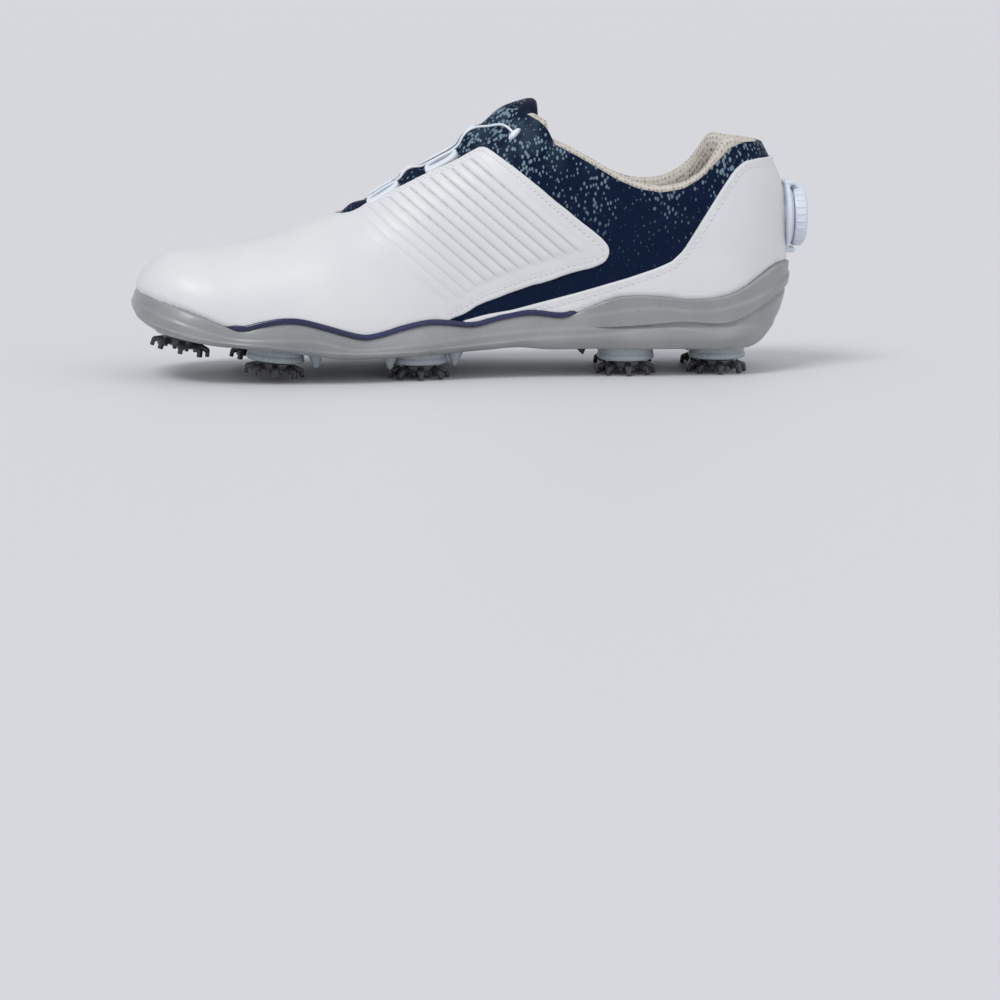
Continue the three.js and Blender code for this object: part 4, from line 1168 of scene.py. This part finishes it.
traction = {
    "front": [(82 + 14 * row, -2 + 7 * k) for row in range(5) for k in (-1, 0, 1)],
    "heel": [(206, -1 + 7.4 * k) for k in range(-3, 4)] + [(224 + 13 * row, -1.3) for row in range(5)],
    "nubs": [(82, -41, 13.5), (116, -37, 12), (146, -32, 12.6), (90, 38, 13.2), (118, 43, 12),
             (150, 38, 13)],
    "tooth": (2.7, 4.6), "nub": (4.2, 7.0),
}


def spike(radius, length, sides, tip, place):
    bpy.ops.object.select_all(action="DESELECT")
    bpy.ops.mesh.primitive_cone_add(vertices=sides, radius1=radius * mm, radius2=tip * mm,
                                    depth=length * mm)
    piece = bpy.context.object
    edge = piece.modifiers.new("edge", "BEVEL")
    edge.width, edge.segments = 0.3 * mm, 2
    bpy.ops.object.modifier_apply(modifier="edge")
    piece.data.transform(Matrix.Translation(Vector(place) * mm) @ Matrix.Rotation(math.pi, 4, "X"))
    return piece


def buildTraction():
    for label, node in (("front", "forefoot_traction"), ("heel", "heel_traction")):
        parts = []
        for t, y in traction[label]:
            base = float(underLine(t)) + 0.9
            parts.append(spike(traction["tooth"][0], traction["tooth"][1], 6, 0.5,
                               (t + soleStart, y, base - 2.3)))
        teeth = joinPieces(f"{node}_teeth", parts)
        dress(teeth, "teeth")
        finishPiece(teeth, "root", "smoke_tpu", node)
    parts = [spike(traction["nub"][0], traction["nub"][1], 24, 0.9, (t + soleStart, y, z - 3.5))
             for t, y, z in traction["nubs"]]
    nubs = joinPieces("sole_nubs", parts)
    dress(nubs, "socket")
    finishPiece(nubs, "root", "sole_tpu")


buildTraction()
print("traction made")


def loft(name, rows, smoothAngle, finish, uv=None):
    # closed sections in a row, capped at both ends
    faces = tubeFaces(len(rows), len(rows[0]))
    piece = meshPiece(name, np.vstack(rows), faces, smoothAngle, None if uv is None else uv * mm)
    fixNormals(piece)
    dress(piece, finish)
    return piece


collarRoll = {
    "start": 177.5,
    "section": [(0.5, -9), (0.55, -3), (0.6, -0.3), (0.9, 1.2), (1.9, 2.6), (3.6, 3.4), (5.6, 3.4),
                (7.6, 2.4),
                (9.2, 0.4), (10.0, -2.6), (10.2, -7), (9.8, -12), (9.0, -18), (8.2, -24), (7.5, -30),
                (6.4, -30),
                (5.6, -22), (4.0, -14), (2.0, -10)],
}


def buildCollar():
    full = np.vstack([collar["flap"]["edge"][:-1], collar["edge"]])
    heights = through([tuple(p) for p in full] + [(302, collar["heelTop"])])
    walk = np.arange(collarRoll["start"], heelEnd, 1.6)
    side = np.concatenate([np.full(len(walk), medial), [medial], np.full(len(walk), lateral)])
    walk = np.concatenate([walk, [heelEnd], walk[::-1]])
    t = walkToStation(walk, 38.5)
    thin = 0.45 + 0.55 * smoothStep((walk - collarRoll["start"]) / 26)
    depth, rise = np.array(collarRoll["section"], float).T
    depth = 0.5 + (depth[None, :] - 0.5) * thin[:, None]
    height = heights(t)[:, None] + rise[None, :]
    rows = onSurface(backPoint, np.broadcast_to((side * (heelEnd - walk))[:, None], depth.shape), height,
                     -depth)
    length = np.concatenate([[0], np.cumsum(np.linalg.norm(np.diff(rows[:, 5], axis=0), axis=1))])
    around = np.linalg.norm(np.diff(rows, axis=1), axis=2)
    around = np.concatenate([np.zeros((len(rows), 1)), np.cumsum(around, axis=1)], axis=1)
    uvs = np.stack([np.broadcast_to(length[:, None], around.shape), around], axis=2).reshape(-1, 2)
    knit = loft("collar_knit", rows, 70, "knit", uvs)
    finishPiece(knit, "root", "foam", "collar_padding")


liningShape = {
    "sheet": {"top": -6.2, "under": -7.4, "round": 0.4, "step": 4.5, "edgeStep": 3.0},
    "drop": 14, "heelTop": 88, "heelLow": 28.5,
    "front": pairs((176, 92), (160, 84), (140, 72), (128, 55), (126, 34)),
    "low": pairs((126, 23.5), (170, 26), (205, 28), (262, 28.5), (288, 28.5)),
}


def buildLining():
    spec = liningShape
    top = walkLine(collar["edge"], 4, closed=False) - pairs((0, spec["drop"]))
    medialTop, medialFront, medialLow = (sideToBack(medial, line) for line in (top, spec["front"],
                                                                               spec["low"]))
    lateralTop, lateralFront, lateralLow = (sideToBack(lateral, line) for line in (top, spec["front"],
                                                                                   spec["low"]))
    outline = np.vstack([medialFront, medialTop, [(0, spec["heelTop"])], lateralTop[::-1], lateralFront,
                         lateralLow,
                         [(0, spec["heelLow"])], medialLow[::-1]])
    made = panel("lining_knit", backPoint, outline, spec["sheet"])
    dress(made, "knit")
    finishPiece(made, "root", "knit_lining", "lining")


def buildSockliner():
    low, high = last["base"](roundPlaces) + 2.4, last["base"](roundPlaces) + 6.2
    rows = [contour(z, np.full_like(low, out) * smoothStep(roundSteps / 20 + 0.4))
            for z, out in ((low, -9.5), (low + 0.3, -8.3), (high - 0.8, -8.1), (high, -9.2))]
    made = shell("sockliner_pad", rows[::-1], 10, smoothAngle=60)
    dress(made, "knit")
    finishPiece(made, "root", "knit_lining", "sockliner")


tongueShape = {
    "start": 90.0, "end": 181.5, "half": through([(90, 12), (97, 15), (106, 16.5), (120, 17), (150, 17),
                                                  (181, 15)]),
    "top": -1.2, "under": -6.2, "puff": 4.2, "swells": ((102, 7.5), (129, 6.5), (155, 6.5), (170, 10)),
    "puffHalf": 12.5,
    "binding": {"middle": 178.4, "long": 6.6, "half": 15.6, "level": -3.2, "thick": 3.4},
    "lining": {"start": 128, "end": 183, "half": 15, "top": -6.3, "under": -7.6},
}


def acrossTop(t, out, lift):
    # grid of points over the top: station, signed distance out and lift of each
    side = np.where(out < 0, medial, lateral)
    s = shareOut(side, t, np.maximum(np.abs(out), 0.02))
    return onSurface(frontPoint, *toFront(side, t, s), lift)


def tongueRise(t, out):
    # how far the padded tongue stands up between the guides
    spec = tongueShape
    swell = sum(np.exp(-((t - station) / wide) ** 2) for station, wide in spec["swells"])
    return spec["top"] + spec["puff"] * swell * np.cos(np.clip(np.abs(out) / spec["puffHalf"], 0,
                                                               1) * math.pi / 2)


def buildTongue():
    spec = tongueShape
    stations = np.linspace(spec["start"], spec["end"], 64)
    across = np.concatenate([np.linspace(-1, 1, 25), np.linspace(1, -1, 25)])
    level = np.concatenate([np.full(25, spec["top"]), np.full(25, spec["under"])])
    t, f = np.meshgrid(stations, across, indexing="ij")
    soft = 1.9 * (1 - np.sqrt(np.clip(1 - np.abs(f) ** 6, 0, 1)))
    out = f * spec["half"](t)
    lift = np.where(level == spec["top"], tongueRise(t, out) - soft, level + soft)
    rows = acrossTop(t, out, lift)
    tongue = loft("tongue_print", rows, 50, "navy")
    finishPiece(tongue, "root", "navy_print", "tongue")


def buildBinding():
    spec = tongueShape["binding"]
    f, angle = np.meshgrid(np.linspace(-1, 1, 41), np.arange(14) * 2 * math.pi / 14, indexing="ij")
    fat = np.sqrt(np.clip(1 - np.abs(f) ** 8, 0.02, 1))
    rows = acrossTop(spec["middle"] + spec["long"] * np.cos(angle), f * spec["half"],
                     spec["level"] + spec["thick"] * np.sin(angle) * fat)
    binding = loft("tongue_binding_roll", rows, 50, "binding")
    finishPiece(binding, "root", "navy_binding", "tongue_binding")


def buildTongueLining():
    spec = tongueShape["lining"]
    across = np.concatenate([np.linspace(-1, 1, 17), np.linspace(1, -1, 17)])
    level = np.concatenate([np.full(17, spec["top"]), np.full(17, spec["under"])])
    t, f = np.meshgrid(np.linspace(spec["start"], spec["end"], 30), across, indexing="ij")
    rows = acrossTop(t, f * spec["half"], np.broadcast_to(level, f.shape))
    uvs = np.stack([t, f * spec["half"]], axis=2).reshape(-1, 2)
    lining = loft("tongue_knit", rows, 50, "knit", uvs)
    finishPiece(lining, "root", "foam")


buildCollar()
buildLining()
buildSockliner()
buildTongue()
buildBinding()
buildTongueLining()
print("soft parts made")


def ovalOutline(t, out, side, long, wide, power, steps):
    # an oval on the top of the upper, from station and distance out
    line = []
    for k in range(steps):
        angle = 2 * math.pi * k / steps
        c, s = math.cos(angle), math.sin(angle)
        u = long * math.copysign(abs(c) ** (2 / power), c)
        v = wide * math.copysign(abs(s) ** (2 / power), s)
        line.append((u, v))
    s = shareOut(side, np.array([t]), np.array([out]))
    a, b = toFront(side, np.array([float(t)]), s)
    return np.array(line) * pairs((1, side)) + np.array([a[0], b[0]])


guides = {
    "sheet": {"top": 2.9, "under": 0.3, "round": 1.0, "step": 1.1, "edgeStep": 0.7},
    "loops": {"upper": 142.5, "lower": 115.5}, "out": 8.6, "size": (8.6, 6.0), "hole": (6.5, 2.5),
    "holeOut": 7.8,
    "middleRise": 1.3, "middleSheet": {"under": -2.2, "round": 1.2, "step": 1.2, "edgeStep": 0.8},
    "middle": {"upper": 158, "lower": 127}, "middleSize": (3.6, 4.6),
    "ferruleSheet": {"top": 3.3, "under": 0.2, "round": 1.4, "step": 0.7, "edgeStep": 0.5},
    "ferrule": (175.4, 109.8), "ferruleSize": (3.3, 2.5),
}


def buildGuides():
    for place, station in guides["loops"].items():
        for side, label in bothSides:
            rim = ovalOutline(station, guides["out"], side, *guides["size"], power=3.6, steps=60)
            hole = ovalOutline(station, guides["holeOut"], side, *guides["hole"], power=2.2, steps=40)
            made = panel(f"guide_{place}_{label}_frame", frontPoint, rim, guides["sheet"], holes=[hole])
            dress(made, "shell")
            finishPiece(made, "root", "guide_plastic", f"loop_guide_{place}_{label}")
    for place, station in guides["middle"].items():
        oval = ovalOutline(station, 0.0, lateral, *guides["middleSize"], power=2.6, steps=50)
        sheet = dict(guides["middleSheet"], top=float(tongueRise(station, 0.0)) + guides["middleRise"])
        made = panel(f"guide_{place}_middle", frontPoint, oval, sheet)
        dress(made, "shell")
        finishPiece(made, "root", "guide_plastic", f"tongue_guide_{place}")
    for side, label in bothSides:
        t, z = guides["ferrule"]
        a, b = toFront(side, np.array([t]), shareAt(side, np.array([t]), np.array([z])))
        long, wide = guides["ferruleSize"]
        line = [(long * math.cos(k * math.pi / 15), wide * math.sin(k * math.pi / 15)) for k in range(30)]
        made = panel(f"ferrule_{label}_button", frontPoint, np.array(line) + np.array([a[0], b[0]]),
                     guides["ferruleSheet"])
        dress(made, "shell")
        finishPiece(made, "root", "guide_plastic", f"lace_ferrule_{label}")


laceShape = {
    "radius": 0.6, "sides": 12, "steps": 620, "depth": 4.75, "lift": 1.85, "clearance": 0.7,
    "front": 108,
    "reelPath": [(144.2, 9.7), (141.0, 10.6)],                   # place along X, distance out
    "flapPath": [(180.5, 103.6, 4.75), (177.2, 107.6, 2.4),
                 (175.4, 109.8, -1.9)],   # station, height, depth
    "sidePath": [(297.5, 69.5), (290, 68), (278, 66), (262, 64), (245, 63), (228, 65), (214, 70), (203, 78),
                 (194, 88),
                 (186, 97)],
    "throatPath": [(171, 12.4), (164, 6.4), (160.5, 3), (157.5, 2.2), (154.5, 3.2), (151, 4.2),
                   (147.5, 4.5),
                   (142.5, 4.4), (137.5, 4.4), (134, 4), (130, 2.8), (127, 2.2), (124.4, 2.8), (121.5, 4.4),
                   (119, 4.5), (115.5, 4.5), (112, 4.3), (109.4, 3.2), (108.3, 1.5)],
}


def laceHalf(side):
    spec = laceShape

    def beside(t, z, depth):
        a, b = toBack(side, np.array([float(t)]), np.array([float(z)]))
        return onSurface(backPoint, a, b, np.array([-depth]))[0]

    def above(t, out, lift):
        a, b = toFront(side, np.array([float(t)]), shareOut(side, np.array([float(t)]),
                                                            np.array([float(out)])))
        lift = max(lift, tongueRise(t, out) + spec["clearance"])
        return onSurface(frontPoint, a, b, np.array([lift]))[0]

    line = [np.array([x, reel["centre"][1] + side * out, reel["centre"][2]]) for x, out in spec["reelPath"]]
    line += [beside(t, z, spec["depth"]) for t, z in spec["sidePath"]]
    line += [beside(t, z, depth) for t, z, depth in spec["flapPath"]]
    line += [above(t, out, spec["lift"]) for t, out in spec["throatPath"]]
    return line


def throughPoints(points, steps):
    # centripetal curve through points, walked evenly
    points = np.array(points)
    ends = np.vstack([2 * points[0] - points[1], points, 2 * points[-1] - points[-2]])
    line = []
    for i in range(1, len(ends) - 2):
        p = ends[i - 1:i + 3]
        knots = np.concatenate([[0], np.cumsum(np.sqrt(np.linalg.norm(np.diff(p, axis=0), axis=1)))])
        for t in np.linspace(knots[1], knots[2], 24, endpoint=False):
            a = [p[k] + (p[k + 1] - p[k]) * (t - knots[k]) / (knots[k + 1] - knots[k]) for k in range(3)]
            b = [a[k] + (a[k + 1] - a[k]) * (t - knots[k]) / (knots[k + 2] - knots[k]) for k in range(2)]
            line.append(b[0] + (b[1] - b[0]) * (t - knots[1]) / (knots[2] - knots[1]))
    line.append(points[-1])
    return walkCount(np.array(line), steps)


def walkCount(line, steps):
    total = np.concatenate([[0], np.cumsum(np.linalg.norm(np.diff(line, axis=0), axis=1))])
    places = np.linspace(0, total[-1], steps)
    return np.stack([np.interp(places, total, line[:, k]) for k in range(3)], axis=1)


def buildLace():
    spec = laceShape
    middle = onSurface(frontPoint, np.array([np.interp(spec["front"], ridgeSteps, ridgeLength)]),
                       np.array([0.01]),
                       np.array([max(spec["lift"], tongueRise(spec["front"], 0.0) + spec["clearance"])]))[0]
    line = throughPoints([*laceHalf(medial), middle, *laceHalf(lateral)[::-1]], spec["steps"])
    along = np.gradient(line, axis=0)
    along /= np.linalg.norm(along, axis=1, keepdims=True)
    up = np.array([0.0, 0.0, 1.0])
    rows = []
    for point, way in zip(line, along):
        up = up - way * (up @ way)
        up /= np.linalg.norm(up)
        across = np.cross(way, up)
        turn = np.arange(spec["sides"]) * 2 * math.pi / spec["sides"]
        rows.append(point + spec["radius"] * (np.cos(turn)[:, None] * across + np.sin(turn)[:, None] * up))
    lace = loft("lace_cable", rows, 60, "cable")
    finishPiece(lace, "root", "lace_coat", "lace")
    print("cable length", round(float(np.linalg.norm(np.diff(line, axis=0), axis=1).sum()), 1), "mm")


reel = {
    "centre": (0, -1.6, 71.0),
    "cup": [(0, 141.7), (12.3, 141.7), (12.4, 145.6), (14.6, 145.9), (16.5, 146.3), (16.9, 147.0),
            (16.6, 147.9),
            (15.6, 148.2), (14.2, 148.2), (14.0, 148.0), (11.2, 148.0), (11.0, 142.8), (0, 142.8)],
    "knob": [(0, 154.3), (8, 154.3), (8, 149.95), (12.9, 149.95), (13.6, 150.3), (13.9, 151.0),
             (13.9, 154.4),
             (13.6, 155.2), (12.9, 155.8), (11.6, 156.25), (11.0, 156.2), (10.5, 155.8), (9.9, 155.7),
             (9.4, 156.0),
             (8.8, 156.3), (0, 156.45)],
    "grips": 26, "gripSize": (4.0, 1.25, 1.3),
}


def buildReel():
    centre = reel["centre"]
    cup = turned("cup", reel["cup"], 72, "X", centre)
    lips = []
    for rise in (15.6, -15.6):
        lip = roundedBlock("lip", (5.4, 14.5, 2.4), 0.9)
        lip.data.transform(Matrix.Translation(Vector((148.6, centre[1], centre[2] + rise)) * mm))
        lips.append(lip)
    whole = joinPieces("reel_housing", [cup, *lips])
    dress(whole, "shell")
    finishPiece(whole, "root", "guide_plastic", "reel_cup")
    knob = turned("knob", reel["knob"], 96, "X", centre)
    grips = []
    for k in range(reel["grips"]):
        turn = Matrix.Rotation(2 * math.pi * k / reel["grips"], 4, "X")
        grip = roundedBlock("grip", reel["gripSize"], 0.45, 2)
        rim = Matrix.Translation((152.6 * mm, 0, 13.6 * mm))
        grip.data.transform(Matrix.Translation(Vector(centre) * mm) @ turn @ rim)
        grips.append(grip)
    whole = joinPieces("reel_dial", [knob, *grips])
    dress(whole, "shell")
    finishPiece(whole, "reel_knob", "reel_shell", "reel_knob")


def buildLabels():
    sheet = {"top": 1.9, "under": 0.3, "round": 0.6, "step": 1.6, "edgeStep": 0.9}
    pill = rounded([(196.4, 91.5), (226.4, 67.6), (232.6, 71.6), (202.4, 97.2)], 3.6)
    made = panel("label_pill", backPoint, sideToBack(lateral, pill), sheet)
    dress(made, "label")
    finishPiece(made, "root", "label_film", "label_patch")
    tab = rounded([(284.6, 53), (292.6, 53), (293.4, 78), (288.6, 83.5), (284.6, 77)], 2.4)
    sheet = {"top": 3.1, "under": 1.4, "round": 0.6, "step": 1.6, "edgeStep": 0.9}
    made = panel("heel_tab_plate", backPoint, sideToBack(lateral, tab), sheet)
    dress(made, "trim")
    finishPiece(made, "root", "navy_gloss", "heel_tab")


buildGuides()
buildLace()
buildReel()
buildLabels()
print("closure made")

carried = {
    "toe_puff": "board", "counter_stiffener": "board", "lasting_board": "board", "midsole": "foam",
    "shank": "steel",
    "lace_tube_medial": "cable", "lace_tube_lateral": "cable", "reel_ratchet": "shell",
    "reel_spool": "inner",
    "reel_screw": "steel", "reel_carrier": "inner",
}
for node, finish in carried.items():
    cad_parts[node].material_slots[0].material = finishes[finish]
print("carried parts dressed")


def buildStage():
    bpy.ops.object.select_all(action="DESELECT")
    bpy.ops.mesh.primitive_plane_add(size=40, location=(0, 0, -0.0002))
    ground = bpy.context.object
    ground.name = "floor"
    finish = newFinish("paleFloor", {"Base Color": (0.74, 0.74, 0.76, 1), "Roughness": 0.55})[0]
    ground.data.materials.append(finish)
    world = bpy.data.worlds.new("studio")
    world.use_nodes = True
    world.node_tree.nodes["Background"].inputs[0].default_value = (0.9, 0.92, 0.97, 1)
    world.node_tree.nodes["Background"].inputs[1].default_value = 0.62
    bpy.context.scene.world = world
    lamps = {   # name: place, strength, softness in degrees
        "key": ((-0.7, -0.75, 1.5), 1.25, 24),
        "fill": ((0.9, -1.0, 0.7), 0.35, 60),
    }
    for name, (place, strength, soft) in lamps.items():
        lamp = bpy.data.objects.new(name, bpy.data.lights.new(name, "SUN"))
        lamp.data.energy, lamp.data.angle = strength, math.radians(soft)
        lamp.location = place
        lamp.rotation_euler = (-Vector(place)).to_track_quat("-Z", "Y").to_euler()
        bpy.context.scene.collection.objects.link(lamp)
    bpy.context.scene.view_settings.view_transform = "Standard"


def buildCamera():
    shot = {"azimuth": -5, "elevation": 5, "lens": 135, "distance": 1.749, "aim": (0.0135, 0.0, -0.0622),
            "centre": (0.0, 0.0, 0.06)}
    a, e = math.radians(shot["azimuth"]), math.radians(shot["elevation"])
    away = Vector((math.sin(a) * math.cos(e), -math.cos(a) * math.cos(e), math.sin(e)))
    camera = bpy.data.objects.new("camera", bpy.data.cameras.new("camera"))
    camera.data.lens = shot["lens"]
    camera.location = Vector(shot["centre"]) + away * shot["distance"]
    camera.rotation_euler = (Vector(shot["aim"]) - camera.location).to_track_quat("-Z", "Y").to_euler()
    camera.data.clip_end = 100
    bpy.context.scene.collection.objects.link(camera)
    bpy.context.scene.camera = camera


buildStage()
buildCamera()
print("stage set")
